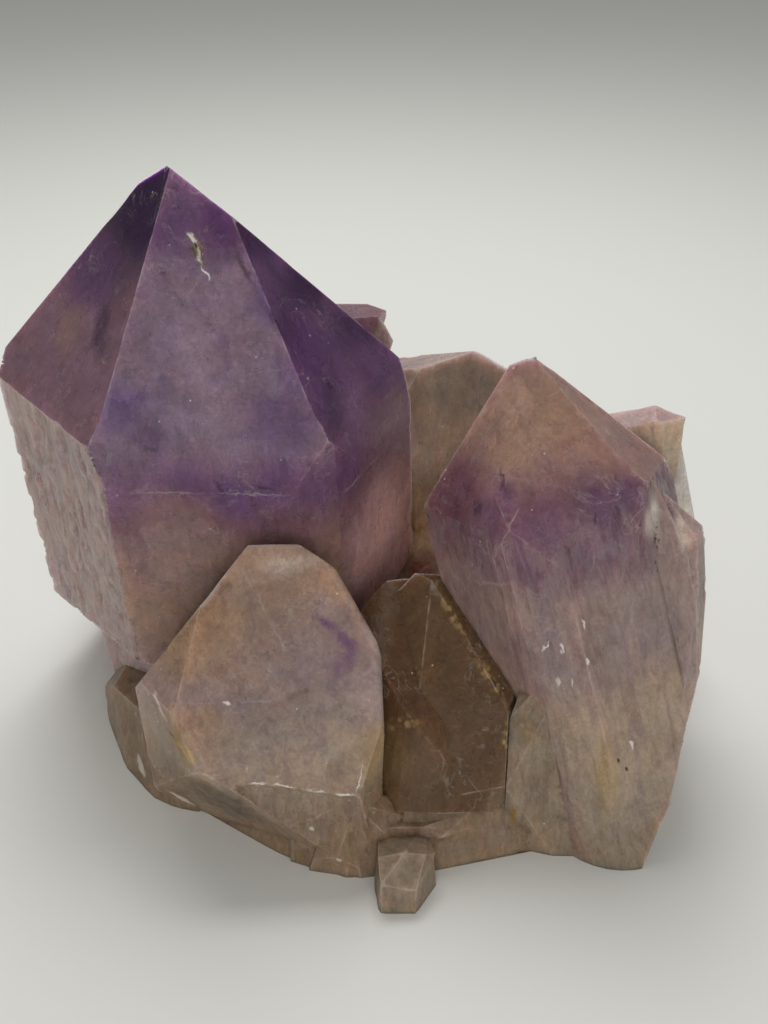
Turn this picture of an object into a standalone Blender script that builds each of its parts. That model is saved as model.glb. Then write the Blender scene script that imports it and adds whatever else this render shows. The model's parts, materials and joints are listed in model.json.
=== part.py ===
"""Amethyst cluster: quartz crystals grown together on a broken base, as one solid.

Sizes are in millimetres until a mesh is made. The cluster stands on z = 0, its front faces -Y, and the
middle of its box is over the origin.

Every crystal is a set of flat faces about its own long axis. A face is (bearing, polar, distance): bearing
turns about the axis from the crystal's front towards its right, polar is the angle from the axis to the
face's normal, and distance is measured from the tip along that normal. Prism faces have polar 90, and the
faces of the point lie close to 52, as in all quartz. Other angles are breaks and chips.
"""
import math

import bmesh
import bpy
from mathutils import Matrix, Vector, noise

MM = 0.001
NODE = "amethyst_cluster"
BLOCK = 400.0
UNDERSIDE = -12.0
UNDERSIDE_STEP = 0.5
CELL_ALONG = 5.0
CELL_ACROSS = 3.2
BOX_MIDDLE = (-1.54, 6.33)

# Crystals: tip, lean of the axis from upright, the side that it leans to (0 front, 90 right), and faces.
CRYSTALS = {
    "big": {
        "tip": (-30.9, 8.1, 109.2), "lean": 6.0, "toward": -16.0,
        "faces": [
            (3.5, 90, 28.4), (63, 90, 35.1), (125, 90, 30.5), (185, 90, 30), (245, 90, 34.4), (308, 90, 28.6),
            (5.7, 50.9, -1.2), (65.5, 52.8, 3.8), (125, 50.8, 0.1), (185, 51.8, 1.4), (244.3, 49.2, 3),
            (304.1, 51.4, -0.8),
            (-36, 140, 83.7),
        ],
        "etched": [(308, 0.9), (245, 0.6), (185, 0.4)],
    },
    "right": {
        "tip": (28, -3.3, 81.6), "lean": 20.0, "toward": -131.0,
        "faces": [
            (18.7, 90, 16.8), (73, 90, 16.8), (134, 90, 20), (190, 90, 20), (254, 90, 22), (310, 90, 19.9),
            (10.6, 54.5, -0.5), (76.8, 55.3, 0.1), (132.6, 56.4, 0.3), (190, 52, 3), (252.8, 47.3, 1.5),
            (316, 51.7, 1.6),
            (187, 42, -0.8), (86, 112, 37), (79, 123, 51.5),
        ],
        "etched": [(18.7, 0.35), (73, 0.5), (134, 0.5)],
    },
    "front": {
        "tip": (-15.3, -19, 56.1), "lean": 2.3, "toward": -60.0,
        "faces": [
            (2, 90, 24.7), (68, 90, 26), (128, 90, 15), (188, 90, 16), (248, 90, 20), (308, 90, 24.5),
            (10.5, 52.3, -1.6), (67.6, 52.3, 4.7), (129, 50.4, 1.4), (188, 52, 2), (250, 54.2, 1.3),
            (308, 51.8, 5),
            (119, 77, 7.4), (109, 88, 13.6), (184, 59, -1.3), (55.5, 84.3, 21.5), (98.5, 95.7, 18.6),
            (-27, 114, 37.3),
        ],
        "etched": [(2, 0.4)],
    },
    "middle": {
        "tip": (7.2, -11.3, 43.9), "lean": 21.9, "toward": 165.0,
        "faces": [
            (19, 90, 17.5), (80, 90, 22.4), (140, 90, 14), (200, 90, 14), (260, 90, 12), (320, 90, 10),
            (21, 52.3, -2.1), (80.5, 50.6, 2.4), (140, 52, 2), (200, 52, 2), (260, 51.8, 0), (320, 51.6, -0.8),
            (200, 40, -1.5), (248, 72, 2.5), (9.5, 164, 42.4),
        ],
        "etched": [],
    },
    "right_small": {
        "tip": (51.1, -11.9, 60.2), "lean": 11.5, "toward": -145.0,
        "faces": [
            (10.6, 90, 6.2), (70.5, 90, 6.4), (131, 90, 9), (190, 90, 8), (250, 90, 8), (310, 90, 7.2),
            (10.5, 52.4, 0.3), (70.8, 51, 0.1), (130.5, 52, -0.3), (190, 52, 1), (250, 52, 1), (310, 51.4, 1.1),
            (86, 104, 13.2),
        ],
        "etched": [],
    },
    "right_back": {
        "tip": (52.3, 4.6, 67.8), "lean": 10.0, "toward": -140.0,
        "faces": [
            (-13, 90, 3.7), (30, 90, 3.7), (157, 90, 12), (217, 90, 14), (277, 90, 12),
            (-40, 27, 0), (37, 30, 0), (140, 45, 0), (177, 40, 0),
            (88, 101, 5.6), (0, 175, 40),
        ],
        "etched": [],
    },
    "right_back_low": {
        "tip": (52.3, 4.6, 67.8), "lean": 10.0, "toward": -140.0,
        "faces": [
            (-13, 90, 3.6), (30, 90, 3.6), (97, 80, 2.7), (157, 90, 8), (217, 90, 8), (277, 90, 8),
            (200, 25, -7.6), (97, 97, 9.8), (0, 175, 46),
        ],
        "etched": [],
    },
    "back_centre": {
        "tip": (23.3, 30.1, 67.1), "lean": 0.0, "toward": 0.0,
        "faces": [
            (32, 86, -0.5), (92, 90, 12), (152, 90, 13), (212, 90, 14), (252, 90, 22), (332, 90, 15),
            (219, 17.6, 0), (171, 42.3, -0.5), (161, 44.1, -0.5), (332, 52, 9),
        ],
        "etched": [],
    },
    "small_back": {
        "tip": (-2, 43.7, 75.5), "lean": 14.5, "toward": 109.0,
        "faces": [
            (13, 90, 8), (73, 90, 7), (133, 90, 8), (193, 90, 8), (253, 90, 14), (313, 90, 8),
            (13, 51.9, 1), (73, 51.8, 2.6), (133, 51.9, 2.5), (193, 51.8, 1), (253, 51.8, 3), (313, 51.8, 1),
            (250, 13, -5.9),
        ],
        "etched": [],
    },
    "small_back_side": {
        "tip": (3.4, 40, 69), "lean": 16.0, "toward": 100.0,
        "faces": [
            (20, 90, 4), (80, 90, 3.5), (140, 90, 5), (200, 90, 5), (260, 90, 6), (320, 90, 5),
            (20, 52, 0), (80, 52, 0.4), (140, 52, 0), (200, 52, 0), (260, 52, 0.5), (320, 52, 0.5),
        ],
        "etched": [],
    },
    "rear_left": {
        "tip": (-46, 46, 57), "lean": 18.0, "toward": -150.0,
        "faces": [
            (40, 90, 12), (100, 90, 12), (160, 90, 11), (220, 90, 12.5), (280, 90, 11), (340, 90, 12),
            (40, 52, 0), (100, 52, 2), (160, 52, 0), (220, 52, 1.5), (280, 52, 0), (340, 52, 2),
        ],
        "etched": [(160, 0.4), (220, 0.4)],
    },
    "rear_middle": {
        "tip": (-17, 58, 49), "lean": 21.0, "toward": 176.0,
        "faces": [
            (25, 90, 9), (85, 90, 10), (145, 90, 9), (205, 90, 10), (265, 90, 9), (325, 90, 9),
            (25, 52, 1), (85, 52, 0), (145, 52, 2.5), (205, 52, 0), (265, 52, 1.5), (325, 52, 0),
        ],
        "etched": [],
    },
    "rear_right": {
        "tip": (34, 50, 45), "lean": 24.0, "toward": 148.0,
        "faces": [
            (10, 90, 9), (70, 90, 8), (130, 90, 9), (190, 90, 8.5), (250, 90, 9), (310, 90, 9),
            (10, 52, 0), (70, 52, 2), (130, 52, 0), (190, 52, 1), (250, 52, 0), (310, 52, 2),
        ],
        "etched": [],
    },
    "rear_low": {
        "tip": (9, 63, 27), "lean": 46.0, "toward": 172.0,
        "faces": [
            (15, 90, 6), (75, 90, 6.5), (135, 90, 6), (195, 90, 6), (255, 90, 6.5), (315, 90, 6),
            (15, 52, 0), (75, 52, 1), (135, 52, 0), (195, 52, 0.5), (255, 52, 0), (315, 52, 1),
        ],
        "etched": [],
    },
    "rear_low_left": {
        "tip": (-60, 38, 31), "lean": 44.0, "toward": -122.0,
        "faces": [
            (15, 90, 6.5), (75, 90, 6), (135, 90, 6.5), (195, 90, 6), (255, 90, 6), (315, 90, 6.5),
            (15, 52, 0), (75, 52, 1), (135, 52, 0), (195, 52, 1.5), (255, 52, 0), (315, 52, 1),
        ],
        "etched": [],
    },
    "side_low": {
        "tip": (62, 22, 29), "lean": 38.0, "toward": 118.0,
        "faces": [
            (35, 90, 6.5), (95, 90, 6), (155, 90, 6.5), (215, 90, 6), (275, 90, 6.5), (335, 90, 6),
            (35, 52, 0), (95, 52, 1), (155, 52, 0), (215, 52, 1), (275, 52, 0), (335, 52, 0.5),
        ],
        "etched": [],
    },
}

# The base that all stands on: corner points of its hull, and how far its skin is roughened.
BASE = {
    "points": [
        (-42, -22, 0), (-32, -27.5, 0), (-21, -35, 0), (-14, -40.5, 0), (-3, -45, 0), (13, -43, 0),
        (23, -38.5, 0), (50, -34, 0), (57, -8, 0), (53, 22, 0), (26, 48, 0), (-14, 54, 0), (-46, 42, 0),
        (-52, 14, 0), (-50, -1, 0),
        (-44, -6, 10), (-36, -16, 12), (-18, -31, 10), (-2, -41, 9), (10, -40, 9.5), (22, -36, 9),
        (46, -26, 12), (50, 2, 18), (42, 26, 24), (14, 42, 28), (-24, 46, 28), (-44, 30, 24),
    ],
    "roughness": 1.6,
}

# Broken lumps on and around the base, in the same terms.
ROCKS = {
    "left_lump": {
        "points": [
            (-52.5, 5, 0), (-52, -2, 0), (-48.5, -10, 0), (-44.5, -20, 0), (-41.5, -24, 0), (-36.5, -26.8, 0),
            (-31, -28, 0), (-20, -10, 0), (-30, 10, 0),
            (-51, -4, 10), (-48, -9, 14), (-41, -18, 16), (-34, -25, 13), (-30, -27.4, 8), (-34, -10, 20),
            (-44, 6, 16),
        ],
        "roughness": 0.7,
    },
    "root": {
        "points": [
            (-49, 3, 0), (-51, 16, 0), (-54, 30, 0), (-40, 42, 0), (0, 30, 0), (-10, -10, 0), (-36, -16, 0),
            (-52.5, 3, 19), (-50, 0, 11), (-58, 24, 17), (-53, 38, 24), (-20, 42, 34), (-28, -18, 30),
            (0, 10, 34),
        ],
        "roughness": 1.2,
    },
    "right_foot": {
        "points": [
            (25.6, -36.3, 0), (25.2, -35.7, 14), (25.6, -31.2, 26), (40.5, -39.5, 0), (42.5, -41, 0), (38, -30, 44),
            (33, -22, 44), (50, -26, 0), (40, -10, 10),
        ],
        "roughness": 0.3,
    },
    "seam": {
        "points": [
            (12.4, -14.4, 43), (18.9, -22.6, 35.4), (25.3, -31, 27.4), (25, -36, 14), (25.6, -36.5, 2),
            (14.4, -13.2, 40), (21, -19.8, 32.2), (28, -28.2, 22.8), (40, -20, 2), (34, -8, 38), (12, -8, 30),
        ],
        "roughness": 0.0,
    },
    "seam_right": {
        "points": [
            (46.3, -21, 62), (48.7, -23.7, 54), (50.9, -25.3, 47), (53.3, -27.4, 38), (55.4, -29.2, 31),
            (55.5, -28.5, 20), (48.4, -15, 65), (51, -18.8, 60), (55, -20.4, 52), (57.2, -21.8, 44),
            (58.4, -23, 36), (59, -24.2, 29), (57, -24, 20), (48, -8, 62), (50, -8, 16),
        ],
        "roughness": 0.3,
    },
    "web": {
        "points": [
            (-1, -42.3, 17.5), (3.6, -38.2, 17.3), (8, -38.5, 12), (-6, -42.4, 10), (-3, -43.5, 6), (6, -42, 7),
            (0, -34, 16), (10, -34, 10), (3, -43.6, 0), (-5, -44, 0), (10, -36, 0),
        ],
        "roughness": 0.3,
    },
    "rear_matrix": {
        "points": [
            (-56, 22, 0), (-40, 50, 0), (-8, 60, 0), (30, 55, 0), (55, 30, 0), (60, 6, 0), (56, -10, 0),
            (-10, 0, 0),
            (-52, 30, 20), (-34, 44, 28), (-4, 50, 32), (28, 42, 34), (50, 22, 34), (58, 4, 28), (40, -4, 30),
            (0, 26, 32),
        ],
        "roughness": 2.2,
    },
    "nub": {
        "points": [
            (3.7, -52.3, 0), (8.9, -52.7, 0), (10.5, -50, 0), (13.4, -46, 0), (1.2, -45, 0), (2, -49, 0),
            (13, -38, 0), (1, -38, 0),
            (3, -46.5, 8.6), (7.5, -46.5, 9.8), (11, -46, 8.8), (12.8, -44.5, 7.5), (3.4, -50.4, 6.3),
            (9.4, -50.5, 5), (3, -38, 7), (11, -38, 7),
        ],
        "roughness": 0.0,
    },
}

# Chips broken out of edges: centre, radii along X, Y and Z.
CHIPS = [
    ((-25.8, 0.6, 97.4), (1.0, 1.1, 3.2)),
]


def axis_frame(lean, toward):
    """Columns are the crystal's right, back and long axis, in the cluster's own frame."""
    tilt = math.radians(lean)
    side = math.radians(toward)
    along = Vector((math.sin(tilt) * math.sin(side), -math.sin(tilt) * math.cos(side), math.cos(tilt)))
    front = Vector((0, -1, 0))
    front = (front - along * front.dot(along)).normalized()
    right = along.cross(front)
    return Matrix((right, -front, along)).transposed()


def face_normal(frame, bearing, polar):
    """Outward normal of a face in the cluster's frame."""
    turn = math.radians(bearing)
    down = math.radians(polar)
    local = Vector((math.sin(down) * math.sin(turn), -math.sin(down) * math.cos(turn), math.cos(down)))
    return frame @ local


def cut_away(bm, point, normal):
    """Cut the closed mesh along a plane, drop what lies beyond it and close the cut."""
    cut = bmesh.ops.bisect_plane(
        bm, geom=bm.verts[:] + bm.edges[:] + bm.faces[:], dist=1e-5,
        plane_co=point, plane_no=normal, clear_outer=True)
    rim = [item for item in cut["geom_cut"] if isinstance(item, bmesh.types.BMEdge)]
    if rim:
        bmesh.ops.edgenet_fill(bm, edges=rim)


def crystal_mesh(underside, tip, lean, toward, faces, etched):
    """A block cut down to the crystal's faces, with its etched faces pitted."""
    bm = bmesh.new()
    bmesh.ops.create_cube(bm, size=BLOCK)
    tip = Vector(tip)
    frame = axis_frame(lean, toward)
    for bearing, polar, distance in faces:
        normal = face_normal(frame, bearing, polar)
        cut_away(bm, tip + normal * distance, normal)
    cut_away(bm, Vector((0, 0, underside)), Vector((0, 0, -1)))
    for bearing, depth in etched:
        etch_face(bm, tip, frame, bearing, depth)
    bmesh.ops.recalc_face_normals(bm, faces=bm.faces)
    return bm


def etch_face(bm, tip, frame, bearing, depth):
    """Divide one prism face into cells and sink their corners by an uneven amount."""
    normal = face_normal(frame, bearing, 90)
    along = frame.col[2]
    across = along.cross(normal)
    skin = [face for face in bm.faces if face.normal.dot(normal) > 0.9999]
    corners = {vert for face in skin for vert in face.verts}
    for line, cell in ((along, CELL_ALONG), (across, CELL_ACROSS)):
        low = min((vert.co - tip).dot(line) for vert in corners)
        high = max((vert.co - tip).dot(line) for vert in corners)
        for step in range(1, int((high - low) / cell) + 1):
            skin = [face for face in bm.faces if face.normal.dot(normal) > 0.9999]
            edges = {edge for face in skin for edge in face.edges}
            verts = {vert for face in skin for vert in face.verts}
            wobble = 0.3 * cell * noise.noise(Vector((bearing, step * 0.7, cell)))
            bmesh.ops.bisect_plane(
                bm, geom=list(verts) + list(edges) + skin, dist=1e-5,
                plane_co=tip + line * (low + step * cell + wobble), plane_no=line)
    inner = [vert for vert in bm.verts
             if all(face.normal.dot(normal) > 0.9999 for face in vert.link_faces)]
    for vert in inner:
        grain = vert.co - along * (vert.co.dot(along) * 0.6)
        vert.co -= normal * depth * (0.5 + noise.noise(grain * 0.35))


def rough_shift(point):
    """A smooth uneven shift that depends only on where the point is."""
    spot = point * 0.11
    return Vector([noise.noise(spot + Vector((0, 0, apart))) for apart in (0, 31.7, 67.3)])


def rock_mesh(underside, points, roughness):
    """A broken block: the hull of its corners, divided and roughened."""
    bm = bmesh.new()
    for point in points:
        bm.verts.new(point)
    bmesh.ops.convex_hull(bm, input=bm.verts)
    spare = [vert for vert in bm.verts if not vert.link_faces]
    bmesh.ops.delete(bm, geom=spare, context="VERTS")
    if roughness:
        bmesh.ops.subdivide_edges(bm, edges=bm.edges, cuts=1, use_grid_fill=True)
        bmesh.ops.triangulate(bm, faces=bm.faces)
    for vert in bm.verts:
        if vert.co.z < 0.01:
            vert.co.z = underside
        elif roughness:
            vert.co += rough_shift(vert.co) * roughness
    bmesh.ops.recalc_face_normals(bm, faces=bm.faces)
    return bm


def chip_mesh(centre, radii):
    """An egg-shaped bite."""
    bm = bmesh.new()
    bmesh.ops.create_icosphere(bm, subdivisions=2, radius=1.0)
    bmesh.ops.scale(bm, vec=radii, verts=bm.verts)
    bmesh.ops.translate(bm, vec=centre, verts=bm.verts)
    return bm


def make_object(name, bm, home):
    """Turn a mesh in millimetres into an object in metres, with the box's middle over the origin."""
    bmesh.ops.translate(bm, vec=(-BOX_MIDDLE[0], -BOX_MIDDLE[1], 0), verts=bm.verts)
    bmesh.ops.scale(bm, vec=(MM, MM, MM), verts=bm.verts)
    mesh = bpy.data.meshes.new(name)
    bm.to_mesh(mesh)
    bm.free()
    obj = bpy.data.objects.new(name, mesh)
    home.objects.link(obj)
    return obj


def make_tool(name, bm, home):
    """A solid that is only there to be joined to the cluster or cut from it."""
    tool = make_object(name, bm, home)
    tool.hide_render = True
    tool.display_type = "WIRE"


def new_group(name):
    """A collection for tools, inside the scene's own."""
    group = bpy.data.collections.new(name)
    bpy.context.scene.collection.children.link(group)
    return group


def combine(target, operation, tools):
    """Join a group of solids to the target, or cut it away, with one live Boolean."""
    boolean = target.modifiers.new(tools.name, "BOOLEAN")
    boolean.operation = operation
    boolean.solver = "EXACT"
    boolean.operand_type = "COLLECTION"
    boolean.collection = tools


def quartz_material():
    """Cloudy violet quartz."""
    material = bpy.data.materials.new("amethyst")
    material.use_nodes = True
    shader = material.node_tree.nodes["Principled BSDF"]
    shader.inputs["Base Color"].default_value = (0.36, 0.26, 0.38, 1.0)
    shader.inputs["Roughness"].default_value = 0.3
    shader.inputs["Metallic"].default_value = 0.0
    return material


def main():
    for old in list(bpy.data.objects):
        bpy.data.objects.remove(old)
    grown = new_group("grown_together")
    cut_off = new_group("cut_off")
    cluster = make_object(NODE, rock_mesh(UNDERSIDE, **BASE), bpy.context.scene.collection)
    cluster.data.materials.append(quartz_material())
    underside = UNDERSIDE
    for name, block in ROCKS.items():
        underside -= UNDERSIDE_STEP
        make_tool("rock_" + name, rock_mesh(underside, **block), grown)
    for name, size in CRYSTALS.items():
        underside -= UNDERSIDE_STEP
        make_tool("crystal_" + name, crystal_mesh(underside, **size), grown)
    for number, (centre, radii) in enumerate(CHIPS):
        make_tool(f"chip_{number}", chip_mesh(centre, radii), cut_off)
    ground = bmesh.new()
    bmesh.ops.create_cube(ground, size=BLOCK)
    bmesh.ops.translate(ground, verts=ground.verts, vec=(0, 0, -BLOCK / 2))
    make_tool("ground", ground, cut_off)
    combine(cluster, "UNION", grown)
    combine(cluster, "DIFFERENCE", cut_off)


main()
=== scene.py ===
"""Looks of the amethyst cluster: the quartz carved crystal by crystal, grown together, etched and coloured.

Sizes are millimetres in the builder's own frame, as in the part's source. The finished mesh is in metres, with the
middle of the cluster's box over the origin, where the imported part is.
"""
import sys
import json
import logging
import math
from dataclasses import dataclass, field
from enum import Enum

import bmesh
import bpy
import numpy as np
from mathutils import Matrix, Vector, kdtree, noise

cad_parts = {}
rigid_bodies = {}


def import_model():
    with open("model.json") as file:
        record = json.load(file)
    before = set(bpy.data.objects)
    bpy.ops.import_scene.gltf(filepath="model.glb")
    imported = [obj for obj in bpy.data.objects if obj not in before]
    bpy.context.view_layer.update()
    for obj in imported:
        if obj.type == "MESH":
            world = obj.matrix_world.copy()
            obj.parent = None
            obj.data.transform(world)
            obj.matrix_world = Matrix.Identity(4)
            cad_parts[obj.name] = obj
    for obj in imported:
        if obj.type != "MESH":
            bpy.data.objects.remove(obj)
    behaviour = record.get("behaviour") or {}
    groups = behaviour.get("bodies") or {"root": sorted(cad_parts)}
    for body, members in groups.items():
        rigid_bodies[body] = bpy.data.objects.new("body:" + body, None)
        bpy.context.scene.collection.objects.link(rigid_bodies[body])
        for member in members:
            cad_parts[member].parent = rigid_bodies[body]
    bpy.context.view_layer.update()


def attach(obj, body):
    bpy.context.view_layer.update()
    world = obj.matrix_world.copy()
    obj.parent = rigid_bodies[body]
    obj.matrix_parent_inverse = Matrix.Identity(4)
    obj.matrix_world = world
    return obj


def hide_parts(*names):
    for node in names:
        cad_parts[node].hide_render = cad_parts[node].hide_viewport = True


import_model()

log = logging.getLogger("amethyst")

MM = 0.001
SLIVER = 0.05
SOFT_CUTS = 5
BLOCK = 400.0
GROUND = 0.0
BOX_MIDDLE = Vector((-1.54, 6.33, 0.0))
Point = tuple[float, float, float]
Colour = tuple[float, float, float]


class Skin(Enum):
    """How a surface of the quartz broke or grew."""

    GROWN = "grown face with a satin gloss"
    STRIATED = "prism side with faint upright lines"
    ETCHED = "prism side eaten into ragged upright pits"
    BROKEN = "broken rock without faces"


def tone(red: int, green: int, blue: int) -> Colour:
    """A colour given on the usual 0 to 255 scale, as linear light."""
    steps = [value / 255 for value in (red, green, blue)]
    return tuple(s / 12.92 if s <= 0.04045 else ((s + 0.055) / 1.055) ** 2.4 for s in steps)


def in_metres(point: Point) -> Vector:
    """A place in the builder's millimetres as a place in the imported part's frame."""
    return (Vector(point) - BOX_MIDDLE) * MM


def deselect() -> None:
    """Leave edit mode's reach empty, because loading leaves the CAD nodes selected."""
    for obj in bpy.context.selected_objects:
        obj.select_set(False)


def take_up(obj: bpy.types.Object) -> None:
    """Select one object alone and make it the active one."""
    deselect()
    obj.select_set(True)
    bpy.context.view_layer.objects.active = obj


def name_piece(name: str) -> bpy.types.Object:
    """Name the object that the last operator added."""
    obj = bpy.context.object
    obj.name = name
    obj.data.name = name
    return obj


@dataclass(frozen=True)
class Face:
    """A flat crystal face: bearing about the axis, angle from the axis, distance from the tip, and its skin."""

    bearing: float
    polar: float
    distance: float
    skin: Skin = Skin.GROWN
    depth: float = 0.16


@dataclass(frozen=True)
class Cloud:
    """A soft patch of colour inside the quartz, round or drawn out, and kept to one facing if asked."""

    centre: Point
    radii: Point
    colour: Colour
    strength: float = 0.8
    facing: tuple[float, float] | None = None
    ragged: float = 0.35


@dataclass(frozen=True)
class Zoning:
    """How a crystal's colour runs from its tip to its root: (millimetres below the tip, colour)."""

    bands: tuple[tuple[float, Colour], ...]
    clouds: tuple[Cloud, ...] = ()
    tints: tuple[tuple[float, float, Colour, float], ...] = ()


@dataclass(frozen=True)
class SoftEdge:
    """An edge that growth left rounded: the two faces, by bearing and polar angle, and the round's reach."""

    between: tuple[tuple[float, float], tuple[float, float]]
    width: float


@dataclass(frozen=True)
class Ledge:
    """A growth ledge or a faint ridge on a face: beyond a line of places the surface drops.

    The drop lies on the side that away points to, takes run millimetres and fades out again by reach.
    """

    line: tuple[Point, ...]
    away: Point
    drop: float
    run: float
    reach: float

    def sunk(self, spot: Vector) -> float:
        """How far a place is sunk by this ledge, in millimetres."""
        nearest = Vector((99, 99, 99))
        for start, end in zip(self.line, self.line[1:]):
            along = Vector(end) - Vector(start)
            part = (spot - Vector(start)).dot(along) / along.length_squared
            gap = spot - Vector(start) - along * min(max(part, 0.0), 1.0)
            if gap.length < nearest.length:
                nearest = gap
        side = nearest.dot(Vector(self.away).normalized())
        if side <= 0:
            return 0.0
        slip = (nearest - Vector(self.away).normalized() * side).length
        fade = (1 - smooth_one(self.reach * 0.4, self.reach, side)) * (1 - smooth_one(1.5, 4.5, slip))
        return self.drop * smooth_one(0, self.run, side) * fade


@dataclass(frozen=True)
class Mark:
    """A scratch, crack, fleck or stain: a slim egg of colour on the surface from one place to another."""

    start: Point
    end: Point
    width: float
    facing: Point
    depth: float = 4.0

    def egg(self) -> tuple[Vector, tuple[float, float, float], Point]:
        """The egg's middle, turn and half sizes, in the finished object's millimetres.

        Returns:
            The middle, the three turns in radians, and half of the length, width and depth.
        """
        start, end = Vector(self.start), Vector(self.end)
        along = (end - start).normalized()
        out = Vector(self.facing)
        out = (out - along * out.dot(along)).normalized()
        turn = Matrix((along, out.cross(along), out)).transposed().to_euler()
        half = ((end - start).length / 2 + self.width / 2, self.width / 2, self.depth)
        return (start + end) / 2 - BOX_MIDDLE, tuple(turn), half


@dataclass(frozen=True)
class Marking:
    """Marks of one colour: how strong, how soft at their edge, and whether they are made of grains."""

    colour: Colour
    strength: float
    marks: tuple[Mark, ...]
    soft: float = 0.3
    grains: float = 0.0
    ragged: bool = True


@dataclass
class Crystal:
    """One quartz crystal: its tip, the lean of its axis, the faces that bound it and its colour zones."""

    name: str
    tip: Point
    lean: float
    toward: float
    faces: tuple[Face, ...]
    zoning: Zoning
    soft_edges: tuple[SoftEdge, ...] = ()
    ledges: tuple[Ledge, ...] = ()
    number: int = 0

    def axis(self) -> Matrix:
        """Columns are the crystal's right, back and long axis in the cluster's frame."""
        tilt = math.radians(self.lean)
        side = math.radians(self.toward)
        along = Vector((math.sin(tilt) * math.sin(side), -math.sin(tilt) * math.cos(side), math.cos(tilt)))
        front = Vector((0, -1, 0))
        front = (front - along * front.dot(along)).normalized()
        return Matrix((along.cross(front), -front, along)).transposed()

    def normal(self, bearing: float, polar: float) -> Vector:
        """Outward normal of a face with this bearing and polar angle."""
        turn = math.radians(bearing)
        down = math.radians(polar)
        local = Vector((math.sin(down) * math.sin(turn), -math.sin(down) * math.cos(turn), math.cos(down)))
        return self.axis() @ local

    def carve(self, underside: float) -> bpy.types.Object:
        """Cut a cube down to the crystal, one face at a time.

        Args:
            underside: height in millimetres at which the hidden foot ends.

        Returns:
            The carved object, in metres.
        """
        deselect()
        bpy.ops.mesh.primitive_cube_add(size=BLOCK * MM, location=(0, 0, 0))
        piece = name_piece("crystal_" + self.name)
        bpy.ops.object.mode_set(mode="EDIT")
        for face in self.faces:
            normal = self.normal(face.bearing, face.polar)
            cut_off(Vector(self.tip) + normal * face.distance, normal)
        cut_off(Vector((0, 0, underside)), Vector((0, 0, -1)))
        for soft in self.soft_edges:
            self.soften(soft)
        bpy.ops.mesh.select_all(action="SELECT")
        bpy.ops.mesh.normals_make_consistent(inside=False)
        bpy.ops.object.mode_set(mode="OBJECT")
        return piece

    def soften(self, soft: SoftEdge) -> None:
        """Round the edge between two faces with a few narrow cuts, each tangent to the round.

        Args:
            soft: the edge, with the bearing and polar angle of both faces and how far the round reaches.
        """
        ways = [self.normal(*pair) for pair in soft.between]
        reach = [self.face(*pair).distance for pair in soft.between]
        turn = ways[0].angle(ways[1])
        radius = soft.width / math.tan(turn / 2)
        square = math.sin(turn) ** 2
        shares = [(reach[k] - radius - (reach[1 - k] - radius) * math.cos(turn)) / square for k in (0, 1)]
        middle = Vector(self.tip) + ways[0] * shares[0] + ways[1] * shares[1]
        for cut in range(1, SOFT_CUTS + 1):
            way = ways[0].slerp(ways[1], cut / (SOFT_CUTS + 1))
            cut_off(middle + way * radius, way)

    def face(self, bearing: float, polar: float) -> Face:
        """The face with this bearing and polar angle."""
        return next(face for face in self.faces if (face.bearing, face.polar) == (bearing, polar))


def cut_off(point: Vector, normal: Vector) -> None:
    """Bisect the mesh in edit mode, drop what lies outside and close the cut.

    Args:
        point: a point on the cut, in the builder's millimetres.
        normal: the way that is cut away.
    """
    bpy.ops.mesh.select_all(action="SELECT")
    bpy.ops.mesh.bisect(plane_co=in_metres(point), plane_no=normal, use_fill=True, clear_outer=True, threshold=1e-8)


@dataclass
class Rock:
    """A lump of the base or a seam: the corner points of its hull, how uneven it is, its colour and its skin."""

    name: str
    points: tuple[Point, ...]
    roughness: float
    colour: Colour
    skin: Skin = Skin.BROKEN
    depth: float = 0.45
    number: int = 0

    def shape(self, underside: float) -> bpy.types.Object:
        """Stretch a hull over the corner points, divide it and roughen it.

        Args:
            underside: height in millimetres of the corners that stand on the ground.

        Returns:
            The lump, in metres.
        """
        deselect()
        bpy.ops.mesh.primitive_circle_add(vertices=len(self.points), radius=10 * MM, location=(0, 0, 0))
        piece = name_piece("rock_" + self.name)
        for vert, point in zip(piece.data.vertices, self.points):
            vert.co = in_metres(point)
        bpy.ops.object.mode_set(mode="EDIT")
        bpy.ops.mesh.select_all(action="SELECT")
        bpy.ops.mesh.convex_hull(delete_unused=True, face_threshold=0.0, shape_threshold=0.0)
        if self.roughness:
            bpy.ops.mesh.select_all(action="SELECT")
            bpy.ops.mesh.subdivide(number_cuts=1)
            bpy.ops.mesh.quads_convert_to_tris()
        bpy.ops.mesh.select_all(action="SELECT")
        bpy.ops.mesh.normals_make_consistent(inside=False)
        bpy.ops.object.mode_set(mode="OBJECT")
        for vert in piece.data.vertices:
            if vert.co.z < 0.01 * MM:
                vert.co.z = underside * MM
            elif self.roughness:
                vert.co += self.shift(vert.co / MM + BOX_MIDDLE) * self.roughness * MM
        return piece

    def shift(self, point: Vector) -> Vector:
        """A smooth uneven shift that depends only on the place."""
        spot = point * 0.11
        return Vector([noise.noise(spot + Vector((0, 0, apart))) for apart in (0, 31.7, 67.3)])


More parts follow.
